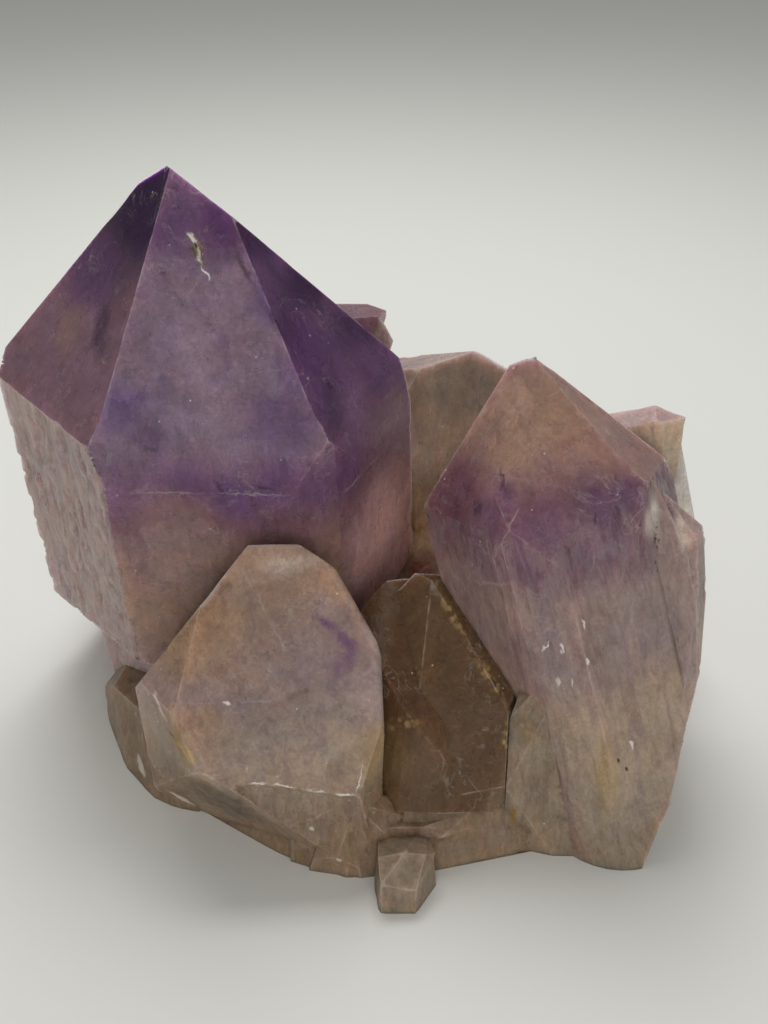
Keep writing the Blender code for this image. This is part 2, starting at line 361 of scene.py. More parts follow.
@dataclass(frozen=True)
class Chip:
    """A bite broken out of the surface: an egg with its radii along X, Y and Z, turned about Y."""

    centre: Point
    radii: Point
    turn: float = 0.0

    def shape(self, name: str) -> bpy.types.Object:
        """The egg that is cut away, in metres."""
        deselect()
        bpy.ops.mesh.primitive_ico_sphere_add(
            subdivisions=3, radius=1.0, location=in_metres(self.centre),
            rotation=(0, math.radians(self.turn), 0), scale=[r * MM for r in self.radii])
        piece = name_piece(name)
        bpy.ops.object.transform_apply(location=True, rotation=True, scale=True)
        for vert in piece.data.vertices:
            vert.co += Vector((1, 1, 1)) * noise.noise(vert.co / MM * 0.9) * 0.25 * MM
        return piece


def smooth_step(low: float, high: float, values: np.ndarray) -> np.ndarray:
    """0 below low, 1 above high, and smooth between, for arrays."""
    part = np.clip((values - low) / (high - low), 0, 1)
    return part * part * (3 - 2 * part)


def smooth_one(low: float, high: float, value: float) -> float:
    """0 below low, 1 above high, and smooth between, for one number."""
    part = min(max((value - low) / (high - low), 0.0), 1.0)
    return part * part * (3 - 2 * part)


def soft_edges(*rows: tuple[float, float, float, float, float]) -> tuple[SoftEdge, ...]:
    """Soft edges from plain rows: two faces by bearing and polar angle, and the reach in millimetres."""
    return tuple(SoftEdge((row[:2], row[2:4]), row[4]) for row in rows)


def faces(*rows: tuple) -> tuple[Face, ...]:
    """Face records from plain rows of bearing, polar, distance and, where etched, skin and depth."""
    return tuple(Face(*row) for row in rows)


# Colours of the quartz, named as a collector would name them.
DEEP_VIOLET = tone(30, 3, 40)
DARK_VIOLET = tone(68, 37, 74)
VIOLET = tone(82, 55, 88)
BLUE_VIOLET = tone(80, 60, 96)
DUSKY_VIOLET = tone(96, 70, 92)
CLOUDY_MAUVE = tone(112, 93, 106)
BRIGHT_MAUVE = tone(120, 101, 113)
MAUVE_BROWN = tone(98, 70, 79)
RED_MAUVE = tone(90, 60, 68)
PINK_BROWN = tone(124, 97, 90)
ROSE_BEIGE = tone(132, 108, 91)
PALE_PINK = tone(142, 121, 116)
GREY_PINK = tone(124, 106, 101)
GREY_BEIGE = tone(134, 117, 100)
HONEY = tone(132, 105, 88)
DARK_SMOKE = tone(81, 61, 40)
RED_SMOKE = tone(78, 55, 36)
TAN = tone(104, 84, 56)
BASE_BROWN = tone(107, 88, 68)
BASE_DARK = tone(77, 60, 41)
FOOT_GREY = tone(114, 99, 81)
OLIVE = tone(106, 84, 66)
RUST = tone(62, 27, 10)
MUSTARD = tone(126, 100, 52)
OCHRE = tone(150, 112, 40)
STRAW = tone(136, 117, 84)
WARM_QUARTZ = tone(176, 152, 132)
PALE_ROSE = tone(196, 152, 144)
# Painted shade: the dark brown that the material lays into inward creases, where shade falls.
CREASE_SHADE = tone(70, 52, 36)
DUSKY_MAUVE = tone(106, 83, 89)
GRAIN_TAN = tone(178, 148, 98)
VALLEY_OLIVE = tone(186, 154, 122)
VALLEY_RUST = tone(108, 48, 14)
PALE_QUARTZ = tone(184, 178, 168)
FLECK_WHITE = tone(240, 234, 226)
CHIP_PALE = tone(222, 212, 196)
CHIP_YELLOW = tone(212, 182, 124)
PLUM = tone(120, 80, 114)
VALLEY_PALE = tone(152, 136, 114)
GOLDEN_SMOKE = tone(128, 104, 80)


BIG = Crystal(
    name="big", tip=(-30.9, 8.1, 109.2), lean=6.0, toward=-16.0,
    faces=faces(
        (3.5, 90, 28.4), (63, 90, 35.1), (125, 90, 30.5), (185, 90, 30, Skin.ETCHED, 0.4),
        (245, 90, 34.4, Skin.ETCHED, 0.7), (308, 90, 28.6, Skin.ETCHED, 1.0),
        (5.7, 50.9, -1.2), (65.5, 52.8, 3.8), (125, 50.8, 0.1), (185, 51.8, 1.4), (244.3, 49.2, 3),
        (304.1, 51.4, -0.8), (-36, 140, 83.7, Skin.BROKEN, 0.5)),
    soft_edges=soft_edges(
        (5.7, 50.9, 3.5, 90, 9), (3.5, 90, 63, 90, 8), (65.5, 52.8, 63, 90, 6), (3.5, 90, 308, 90, 1.5)),
    zoning=Zoning(
        bands=(
            (0, DUSKY_VIOLET), (9, DUSKY_VIOLET), (15, CLOUDY_MAUVE), (25, CLOUDY_MAUVE), (36, CLOUDY_MAUVE),
            (44, DUSKY_VIOLET), (52, MAUVE_BROWN), (60, PINK_BROWN), (70, ROSE_BEIGE), (84, PALE_PINK)),
        tints=(
            (304.1, 51.4, MAUVE_BROWN, 0.9), (65.5, 52.8, DARK_VIOLET, 0.8), (63, 90, MAUVE_BROWN, 0.75),
            (308, 90, PALE_PINK, 0.92), (-36, 140, PALE_PINK, 0.85)),
        clouds=(
            Cloud((-35, 9, 105), (21, 22, 19), DEEP_VIOLET, 1.0, (304.1, 51.4), 0.5),
            Cloud((-47, 10, 92), (9, 12, 8), DARK_VIOLET, 0.7, (304.1, 51.4), 0.7),
            Cloud((-43, -1, 85), (3, 4, 8), DEEP_VIOLET, 0.7, (304.1, 51.4), 0.7),
            Cloud((-49, 5, 86), (2.5, 3, 6), DEEP_VIOLET, 0.5, (304.1, 51.4), 0.8),
            Cloud((-18, 7, 99), (8, 12, 6), DEEP_VIOLET, 0.7, (65.5, 52.8), 0.4),
            Cloud((-8, 8, 90), (8, 12, 6), DEEP_VIOLET, 0.75, (65.5, 52.8), 0.5),
            Cloud((2, 9, 81), (8, 12, 5), DEEP_VIOLET, 0.6, (65.5, 52.8), 0.5),
            Cloud((-12, -4, 85), (3, 4, 8), DEEP_VIOLET, 0.75, (65.5, 52.8), 0.7),
            Cloud((-50, 5, 82), (5, 5, 6), PINK_BROWN, 0.5, (304.1, 51.4), 0.6),
            Cloud((-22, 4.5, 100), (6, 6, 6), DARK_VIOLET, 0.85, (5.7, 50.9), 0.6),
            Cloud((-31, 4, 102), (5, 5, 7), VIOLET, 0.6, (5.7, 50.9), 0.8),
            Cloud((-15, -1, 91), (4, 5, 8), BLUE_VIOLET, 0.8, (5.7, 50.9), 0.5),
            Cloud((-10, -7, 81), (4, 5, 8), BLUE_VIOLET, 0.85, (5.7, 50.9), 0.5),
            Cloud((-38, -13, 75), (6, 6, 6), BLUE_VIOLET, 0.75, (5.7, 50.9), 0.9),
            Cloud((-33, -16, 70), (3, 4, 3), DARK_VIOLET, 0.6, (5.7, 50.9), 0.9),
            Cloud((-12, -12, 73), (9, 7, 6), VIOLET, 0.8, (5.7, 50.9), 0.6),
            # Painted light: a pale rose patch low on the big crystal's right prism face, in the shaded valley towards
            # the right crystal.
            Cloud((6, 2, 38), (14, 18, 18), PALE_ROSE, 0.9, (63, 90), 0.5),
            # Painted light: a lighter patch on the big crystal's front prism face just above the front crystal, where
            # the crease is shaded.
            Cloud((-31, -14, 45), (13, 6, 11), GREY_PINK, 0.6, (3.5, 90), 0.9),
            Cloud((-3, -10, 64), (9, 10, 9), VIOLET, 0.6, (63, 90), 0.5),
            Cloud((-27, -9, 80), (5, 5, 8), BRIGHT_MAUVE, 0.7, (5.7, 50.9), 0.6),
            Cloud((-10, -4, 83), (9, 9, 12), DARK_VIOLET, 0.7, (65.5, 52.8), 0.6),
            Cloud((-4, -8, 72), (4, 5, 5), DEEP_VIOLET, 0.4, (65.5, 52.8), 0.7),
            Cloud((1, -4, 70), (6, 8, 6), DUSKY_VIOLET, 0.7, (65.5, 52.8), 0.6),
            Cloud((-16, -15, 62), (17, 9, 5), VIOLET, 0.65, None, 1.1),
            Cloud((-32, -16, 56), (9, 8, 7), PINK_BROWN, 0.5, None, 0.7)))
)


RIGHT = Crystal(
    name="right", tip=(28, -3.3, 81.6), lean=20.0, toward=-131.0,
    faces=faces(
        (18.7, 90, 16.8, Skin.STRIATED, 0.3), (73, 90, 16.8, Skin.ETCHED, 0.5), (134, 90, 20, Skin.ETCHED, 0.5),
        (190, 90, 20), (254, 90, 22), (310, 90, 19.9, Skin.STRIATED, 0.3),
        (10.6, 54.5, -0.5), (76.8, 55.3, 0.1), (132.6, 56.4, 0.3), (190, 52, 3), (252.8, 47.3, 1.5),
        (316, 51.7, 1.6), (187, 42, -0.8, Skin.BROKEN, 0.2), (86, 112, 37), (79, 123, 51.5)),
    soft_edges=soft_edges(
        (18.7, 90, 310, 90, 8), (10.6, 54.5, 18.7, 90, 8), (316, 51.7, 310, 90, 7), (10.6, 54.5, 316, 51.7, 3),
        (18.7, 90, 73, 90, 4)),
    zoning=Zoning(
        bands=(
            (0, PINK_BROWN), (9, HONEY), (17, PINK_BROWN), (24, MAUVE_BROWN), (31, DUSKY_MAUVE), (40, GREY_PINK),
            (52, GREY_PINK), (60, GREY_BEIGE), (72, GREY_BEIGE), (86, FOOT_GREY)),
        tints=((76.8, 55.3, PINK_BROWN, 0.7), (316, 51.7, PINK_BROWN, 0.5), (310, 90, PINK_BROWN, 0.6)),
        clouds=(
            Cloud((29.5, -11, 75), (7, 7, 6), HONEY, 0.95, None, 0.5),
            Cloud((25, -15, 70), (6, 7, 5), HONEY, 0.8, None, 0.5),
            Cloud((16, -13, 61), (8, 9, 8), RED_MAUVE, 0.95, None, 0.6),
            Cloud((15, -16, 55), (6, 8, 8), RED_MAUVE, 0.8, None, 0.8),
            Cloud((23, -20, 62), (4, 6, 9), VIOLET, 0.5, None, 1.1),
            Cloud((42, -22, 63), (5, 6, 4), VIOLET, 0.45, None, 1.2),
            Cloud((30, -22, 56), (15, 9, 8), DUSKY_VIOLET, 0.55, None, 1.1),
            Cloud((41.5, -37.5, 18), (2.2, 4, 11), STRAW, 0.8, None, 0.5),
            Cloud((28, -33, 24), (3, 4, 4), STRAW, 0.7, None, 0.5),
            Cloud((27, -36, 7), (1.6, 3, 4), OCHRE, 0.85, None, 0.4)))
)


FRONT = Crystal(
    name="front", tip=(-15.3, -19, 56.1), lean=2.3, toward=-60.0,
    faces=faces(
        (2, 90, 24.7, Skin.STRIATED, 0.3), (68, 90, 26), (128, 90, 15), (188, 90, 16), (248, 90, 20), (308, 90, 24.5),
        (10.5, 52.3, -1.6), (67.6, 52.3, 4.7), (129, 50.4, 1.4), (188, 52, 2), (250, 54.2, 1.3), (308, 51.8, 5),
        (119, 77, 7.4), (109, 88, 13.6), (184, 59, -1.3), (55.5, 84.3, 21.5), (98.5, 95.7, 18.6),
        (-27, 114, 37.3, Skin.BROKEN, 0.3)),
    soft_edges=soft_edges(
        (10.5, 52.3, 2, 90, 2), (2, 90, 308, 90, 3), (10.5, 52.3, 119, 77, 1.6), (10.5, 52.3, 109, 88, 1.6),
        (10.5, 52.3, 98.5, 95.7, 1.6), (10.5, 52.3, 308, 90, 1.5), (2, 90, 68, 90, 3)),
    ledges=(
        Ledge(((-20.5, -21.5, 51), (-17.4, -24, 47.3), (-15.4, -26.3, 43.9), (-11.9, -29.7, 38.6), (-9, -31.2, 36.1)),
              (-0.80, -0.42, -0.39), 0.8, 3.0, 14.0),
        Ledge(((-18.4, -43.1, 22.4), (-11.5, -42.8, 21.3), (-0.5, -42.5, 18.9)), (0.1, -0.6, -0.8), 0.8, 1.4, 9.0)),
    zoning=Zoning(
        bands=((0, ROSE_BEIGE), (12, ROSE_BEIGE), (22, GREY_PINK), (32, GREY_BEIGE), (44, BASE_BROWN), (56, BASE_BROWN)),
        clouds=(
            Cloud((-3, -28, 39), (5, 5, 5), DUSKY_VIOLET, 0.35, None, 1.2),
            Cloud((-28, -27, 42), (9, 9, 13), GOLDEN_SMOKE, 0.75, None, 0.8),
            Cloud((-27, -36, 28), (8, 6, 6), GOLDEN_SMOKE, 0.65, None, 0.9),
            Cloud((-8, -28, 42), (9, 8, 8), GREY_PINK, 0.7, None, 1.0),
            Cloud((-11, -21, 52), (6, 3, 2.4), PALE_QUARTZ, 0.35, None, 0.6),
            Cloud((-33, -34, 31), (3, 4, 4), ROSE_BEIGE, 0.8, (308, 90), 0.3),
            Cloud((-30, -38, 26), (3.4, 4, 3), MUSTARD, 0.85, None, 0.5),
            Cloud((-24, -37, 14), (12, 8, 8), BASE_DARK, 1.0, None, 0.7),
            Cloud((1, -33, 30), (4, 5, 7), PALE_PINK, 0.5, None, 1.0),
            Cloud((2.5, -38, 24), (3, 4, 8), STRAW, 0.7, None, 0.6)))
)


MIDDLE = Crystal(
    name="middle", tip=(7.2, -11.3, 43.9), lean=21.9, toward=165.0,
    faces=faces(
        (19, 90, 17.5), (80, 90, 22.4), (140, 90, 14), (200, 90, 14), (260, 90, 12), (320, 90, 10),
        (21, 52.3, -2.1), (80.5, 50.6, 2.4), (140, 52, 2), (200, 52, 2), (260, 51.8, 0), (320, 51.6, -0.8),
        (200, 40, -1.5), (248, 72, 2.5), (9.5, 164, 42.4)),
    soft_edges=soft_edges(
        (21, 52.3, 19, 90, 4), (80.5, 50.6, 80, 90, 3), (19, 90, 80, 90, 3), (21, 52.3, 80.5, 50.6, 3),
        (21, 52.3, 320, 51.6, 3), (19, 90, 320, 90, 6)),
    zoning=Zoning(
        bands=((0, DARK_SMOKE), (18, RED_SMOKE), (30, DARK_SMOKE), (60, DARK_SMOKE)),
        clouds=(
            Cloud((7, -22, 34), (6, 6, 8), RED_SMOKE, 0.4, None, 1.0),
            Cloud((6, -34, 19), (4, 5, 6), TAN, 0.6, None, 1.0)))
)


RIGHT_SMALL = Crystal(
    name="right_small", tip=(51.1, -11.9, 60.2), lean=11.5, toward=-145.0,
    faces=faces(
        (10.6, 90, 6.2), (70.5, 90, 6.4, Skin.ETCHED, 0.4), (131, 90, 9), (190, 90, 8), (250, 90, 8), (310, 90, 7.2),
        (10.5, 52.4, 0.3), (70.8, 51, 0.1), (130.5, 52, -0.3), (190, 52, 1), (250, 52, 1), (310, 51.4, 1.1),
        (86, 104, 13.2)),
    zoning=Zoning(bands=((0, GREY_PINK), (5, GREY_PINK), (10, PALE_PINK), (44, GREY_BEIGE))))


RIGHT_BACK = Crystal(
    name="right_back", tip=(52.3, 4.6, 67.8), lean=10.0, toward=-140.0,
    faces=faces(
        (-13, 90, 3.7), (30, 90, 3.7), (157, 90, 12), (217, 90, 14), (277, 90, 12),
        (-40, 27, 0), (37, 30, 0), (140, 45, 0), (177, 40, 0), (88, 101, 5.6), (0, 175, 40)),
    zoning=Zoning(
        bands=((0, PALE_PINK), (14, PALE_PINK), (50, GREY_BEIGE)),
        tints=((-13, 90, VALLEY_PALE, 0.85), (30, 90, VALLEY_PALE, 0.9))))


RIGHT_BACK_LOW = Crystal(
    name="right_back_low", tip=(52.3, 4.6, 67.8), lean=10.0, toward=-140.0,
    faces=faces(
        (-13, 90, 3.6), (30, 90, 3.6), (97, 80, 2.7), (157, 90, 8), (217, 90, 8), (277, 90, 8),
        (200, 25, -7.6), (97, 97, 9.8), (0, 175, 46)),
    zoning=Zoning(bands=((0, PALE_PINK), (20, PALE_QUARTZ), (50, PALE_QUARTZ))))


BACK_CENTRE = Crystal(
    name="back_centre", tip=(23.3, 30.1, 67.1), lean=0.0, toward=0.0,
    faces=faces(
        (32, 86, -0.5), (92, 90, 12), (152, 90, 13), (212, 90, 14), (252, 90, 22), (332, 90, 15),
        (219, 17.6, 0), (171, 42.3, -0.5), (161, 44.1, -0.5), (332, 52, 9)),
    zoning=Zoning(
        bands=((0, GREY_BEIGE), (7, GREY_BEIGE), (18, WARM_QUARTZ), (30, GREY_BEIGE), (50, OLIVE)),
        tints=((219, 17.6, PALE_PINK, 0.8),)))


SMALL_BACK = Crystal(
    name="small_back", tip=(-2, 43.7, 75.5), lean=14.5, toward=109.0,
    faces=faces(
        (13, 90, 8), (73, 90, 7), (133, 90, 8), (193, 90, 8), (253, 90, 14), (313, 90, 8),
        (13, 51.9, 1), (73, 51.8, 2.6), (133, 51.9, 2.5), (193, 51.8, 1), (253, 51.8, 3), (313, 51.8, 1),
        (250, 13, -5.9)),
    zoning=Zoning(bands=((0, MAUVE_BROWN), (6, MAUVE_BROWN), (10, GREY_PINK), (40, GREY_PINK))))


SMALL_BACK_SIDE = Crystal(
    name="small_back_side", tip=(3.4, 40, 69), lean=16.0, toward=100.0,
    faces=faces(
        (20, 90, 4), (80, 90, 3.5), (140, 90, 5), (200, 90, 5), (260, 90, 6), (320, 90, 5),
        (20, 52, 0), (80, 52, 0.4), (140, 52, 0), (200, 52, 0), (260, 52, 0.5), (320, 52, 0.5)),
    zoning=Zoning(bands=((0, GREY_PINK), (30, GREY_PINK))))


REAR_ZONES = Zoning(bands=((0, VIOLET), (10, CLOUDY_MAUVE), (24, PINK_BROWN), (40, GREY_BEIGE)))

REAR_LEFT = Crystal(
    name="rear_left", tip=(-46, 46, 57), lean=18.0, toward=-150.0,
    faces=faces(
        (40, 90, 12), (100, 90, 12), (160, 90, 11, Skin.ETCHED, 0.4), (220, 90, 12.5, Skin.ETCHED, 0.4),
        (280, 90, 11), (340, 90, 12),
        (40, 52, 0), (100, 52, 2), (160, 52, 0), (220, 52, 1.5), (280, 52, 0), (340, 52, 2)),
    zoning=REAR_ZONES)

REAR_MIDDLE = Crystal(
    name="rear_middle", tip=(-17, 58, 49), lean=21.0, toward=176.0,
    faces=faces(
        (25, 90, 9), (85, 90, 10), (145, 90, 9), (205, 90, 10), (265, 90, 9), (325, 90, 9),
        (25, 52, 1), (85, 52, 0), (145, 52, 2.5), (205, 52, 0), (265, 52, 1.5), (325, 52, 0)),
    zoning=REAR_ZONES)

REAR_RIGHT = Crystal(
    name="rear_right", tip=(34, 50, 45), lean=24.0, toward=148.0,
    faces=faces(
        (10, 90, 9), (70, 90, 8), (130, 90, 9), (190, 90, 8.5), (250, 90, 9), (310, 90, 9),
        (10, 52, 0), (70, 52, 2), (130, 52, 0), (190, 52, 1), (250, 52, 0), (310, 52, 2)),
    zoning=REAR_ZONES)

REAR_LOW = Crystal(
    name="rear_low", tip=(9, 63, 27), lean=46.0, toward=172.0,
    faces=faces(
        (15, 90, 6), (75, 90, 6.5), (135, 90, 6), (195, 90, 6), (255, 90, 6.5), (315, 90, 6),
        (15, 52, 0), (75, 52, 1), (135, 52, 0), (195, 52, 0.5), (255, 52, 0), (315, 52, 1)),
    zoning=REAR_ZONES)

REAR_LOW_LEFT = Crystal(
    name="rear_low_left", tip=(-60, 38, 31), lean=44.0, toward=-122.0,
    faces=faces(
        (15, 90, 6.5), (75, 90, 6), (135, 90, 6.5), (195, 90, 6), (255, 90, 6), (315, 90, 6.5),
        (15, 52, 0), (75, 52, 1), (135, 52, 0), (195, 52, 1.5), (255, 52, 0), (315, 52, 1)),
    zoning=REAR_ZONES)

SIDE_LOW = Crystal(
    name="side_low", tip=(62, 22, 29), lean=38.0, toward=118.0,
    faces=faces(
        (35, 90, 6.5), (95, 90, 6), (155, 90, 6.5), (215, 90, 6), (275, 90, 6.5), (335, 90, 6),
        (35, 52, 0), (95, 52, 1), (155, 52, 0), (215, 52, 1), (275, 52, 0), (335, 52, 0.5)),
    zoning=REAR_ZONES)


BASE = Rock(
    name="base", roughness=1.6, colour=BASE_BROWN,
    points=(
        (-42, -22, 0), (-32, -27.5, 0), (-21, -35, 0), (-14, -40.5, 0), (-3, -45, 0), (13, -43, 0),
        (23, -38.5, 0), (50, -34, 0), (57, -8, 0), (53, 22, 0), (26, 48, 0), (-14, 54, 0), (-46, 42, 0),
        (-52, 14, 0), (-50, -1, 0),
        (-44, -6, 10), (-36, -16, 12), (-18, -31, 10), (-2, -41, 9), (10, -40, 9.5), (22, -36, 9),
        (46, -26, 12), (50, 2, 18), (42, 26, 24), (14, 42, 28), (-24, 46, 28), (-44, 30, 24)))

LEFT_LUMP = Rock(
    name="left_lump", roughness=0.7, colour=BASE_BROWN,
    points=(
        (-52.5, 5, 0), (-52, -2, 0), (-48.5, -10, 0), (-44.5, -20, 0), (-41.5, -24, 0), (-36.5, -26.8, 0),
        (-31, -28, 0), (-20, -10, 0), (-30, 10, 0),
        (-51, -4, 10), (-48, -9, 14), (-41, -18, 16), (-34, -25, 13), (-30, -27.4, 8), (-34, -10, 20),
        (-44, 6, 16)))

ROOT = Rock(
    name="root", roughness=1.2, colour=PALE_PINK,
    points=(
        (-49, 3, 0), (-51, 16, 0), (-54, 30, 0), (-40, 42, 0), (0, 30, 0), (-10, -10, 0), (-36, -16, 0),
        (-52.5, 3, 19), (-50, 0, 11), (-58, 24, 17), (-53, 38, 24), (-20, 42, 34), (-28, -18, 30),
        (0, 10, 34)))

RIGHT_FOOT = Rock(
    name="right_foot", roughness=0.0, colour=FOOT_GREY, skin=Skin.STRIATED, depth=0.25,
    points=(
        (25.6, -36.3, 0), (25.2, -35.7, 14), (25.6, -31.2, 26), (40.5, -39.5, 0), (42.5, -41, 0), (38, -30, 44),
        (33, -22, 44), (50, -26, 0), (40, -10, 10)))

SEAM = Rock(
    name="seam", roughness=0.0, colour=DARK_SMOKE, skin=Skin.GROWN, depth=0.25,
    points=(
        (12.4, -14.4, 43), (18.9, -22.6, 35.4), (25.3, -31, 27.4), (25, -35.4, 14), (25.6, -36.2, 2),
        (14.4, -13.2, 40), (21, -19.8, 32.2), (28, -28.2, 22.8), (40, -20, 2), (34, -8, 38), (12, -8, 30),
        (9.5, -12.2, 43), (6, -14, 39.9), (8, -21.5, 34.6), (10, -29, 29.3), (13, -36.3, 21), (14, -38.2, 14)))

SEAM_RIGHT = Rock(
    name="seam_right", roughness=0.3, colour=GREY_PINK, skin=Skin.STRIATED, depth=0.35,
    points=(
        (46.3, -21, 62), (48.7, -23.7, 54), (50.9, -25.3, 47), (53.3, -27.4, 38), (55.4, -29.2, 31),
        (55.5, -28.5, 20), (48.4, -15, 65), (51, -18.8, 60), (55, -20.4, 52), (57.2, -21.8, 44),
        (58.4, -23, 36), (59, -24.2, 29), (57, -24, 20), (48, -8, 62), (50, -8, 16)))

WEB = Rock(
    name="web", roughness=0.3, colour=BASE_BROWN,
    points=(
        (-1, -41.9, 16.5), (3.6, -38.2, 14.6), (8, -38.5, 10), (-12, -38, 9), (-4, -43.3, 5), (6, -41.6, 6),
        (0, -34, 14), (10, -34, 9), (3, -43.6, 0), (-13, -40.6, 0), (10, -36, 0)))

SHELF = Rock(
    name="shelf", roughness=0.2, colour=BASE_BROWN,
    points=(
        (7.5, -37.6, 12.6), (15, -36.4, 12.4), (24, -34.5, 12.6), (7, -41, 8), (14, -41, 7.5), (23.5, -37, 7.5),
        (7, -39, 1), (23, -35, 1), (8, -28, 12), (24, -26, 12)))

REAR_MATRIX = Rock(
    name="rear_matrix", roughness=2.2, colour=BASE_BROWN,
    points=(
        (-56, 22, 0), (-40, 50, 0), (-8, 60, 0), (30, 55, 0), (55, 30, 0), (60, 6, 0), (56, -10, 0),
        (-10, 0, 0),
        (-52, 30, 20), (-34, 44, 28), (-4, 50, 32), (28, 42, 34), (50, 22, 34), (58, 4, 28), (40, -4, 30),
        (0, 26, 32)))

NUB = Rock(
    name="nub", roughness=0.0, colour=FOOT_GREY, depth=0.35,
    points=(
        (3.7, -52.3, 0), (8.9, -52.7, 0), (10.5, -50, 0), (13.4, -46, 0), (1.2, -45, 0), (2, -49, 0),
        (13, -38, 0), (1, -38, 0),
        (3, -46.5, 8.6), (7.5, -46.5, 9.8), (11, -46, 8.8), (12.8, -44.5, 7.5), (3.4, -50.4, 6.3),
        (9.4, -50.5, 5), (3, -38, 7), (11, -38, 7)))


STAINS = (
    Cloud((25.5, -36, 8), (4, 5, 11), FOOT_GREY, 0.6, None, 0.5),
    Cloud((12, 18, 34), (7, 8, 9), VALLEY_OLIVE, 0.85, None, 0.5),
    Cloud((11.6, 10, 29), (4, 6, 4), VALLEY_RUST, 1.0, None, 0.4),
    Cloud((-31, -29, 11), (4, 4, 8), BASE_DARK, 0.6, None, 0.5),
    Cloud((-25, -37, 13), (8, 7, 8), BASE_DARK, 0.9, None, 0.8),
    Cloud((47.4, -19, 59.5), (1.8, 5, 3.6), PALE_QUARTZ, 0.7, None, 0.4),
    Cloud((54.5, -17.5, 54), (1.6, 5, 3.4), PALE_QUARTZ, 0.55, None, 0.5))

UP_FRONT = (0.06, -0.83, 0.55)
FRONT_FACE = (0.12, -0.79, 0.60)
RIGHT_FRONT = (0.28, -0.92, 0.28)
RIGHT_SIDE = (0.89, -0.45, -0.02)

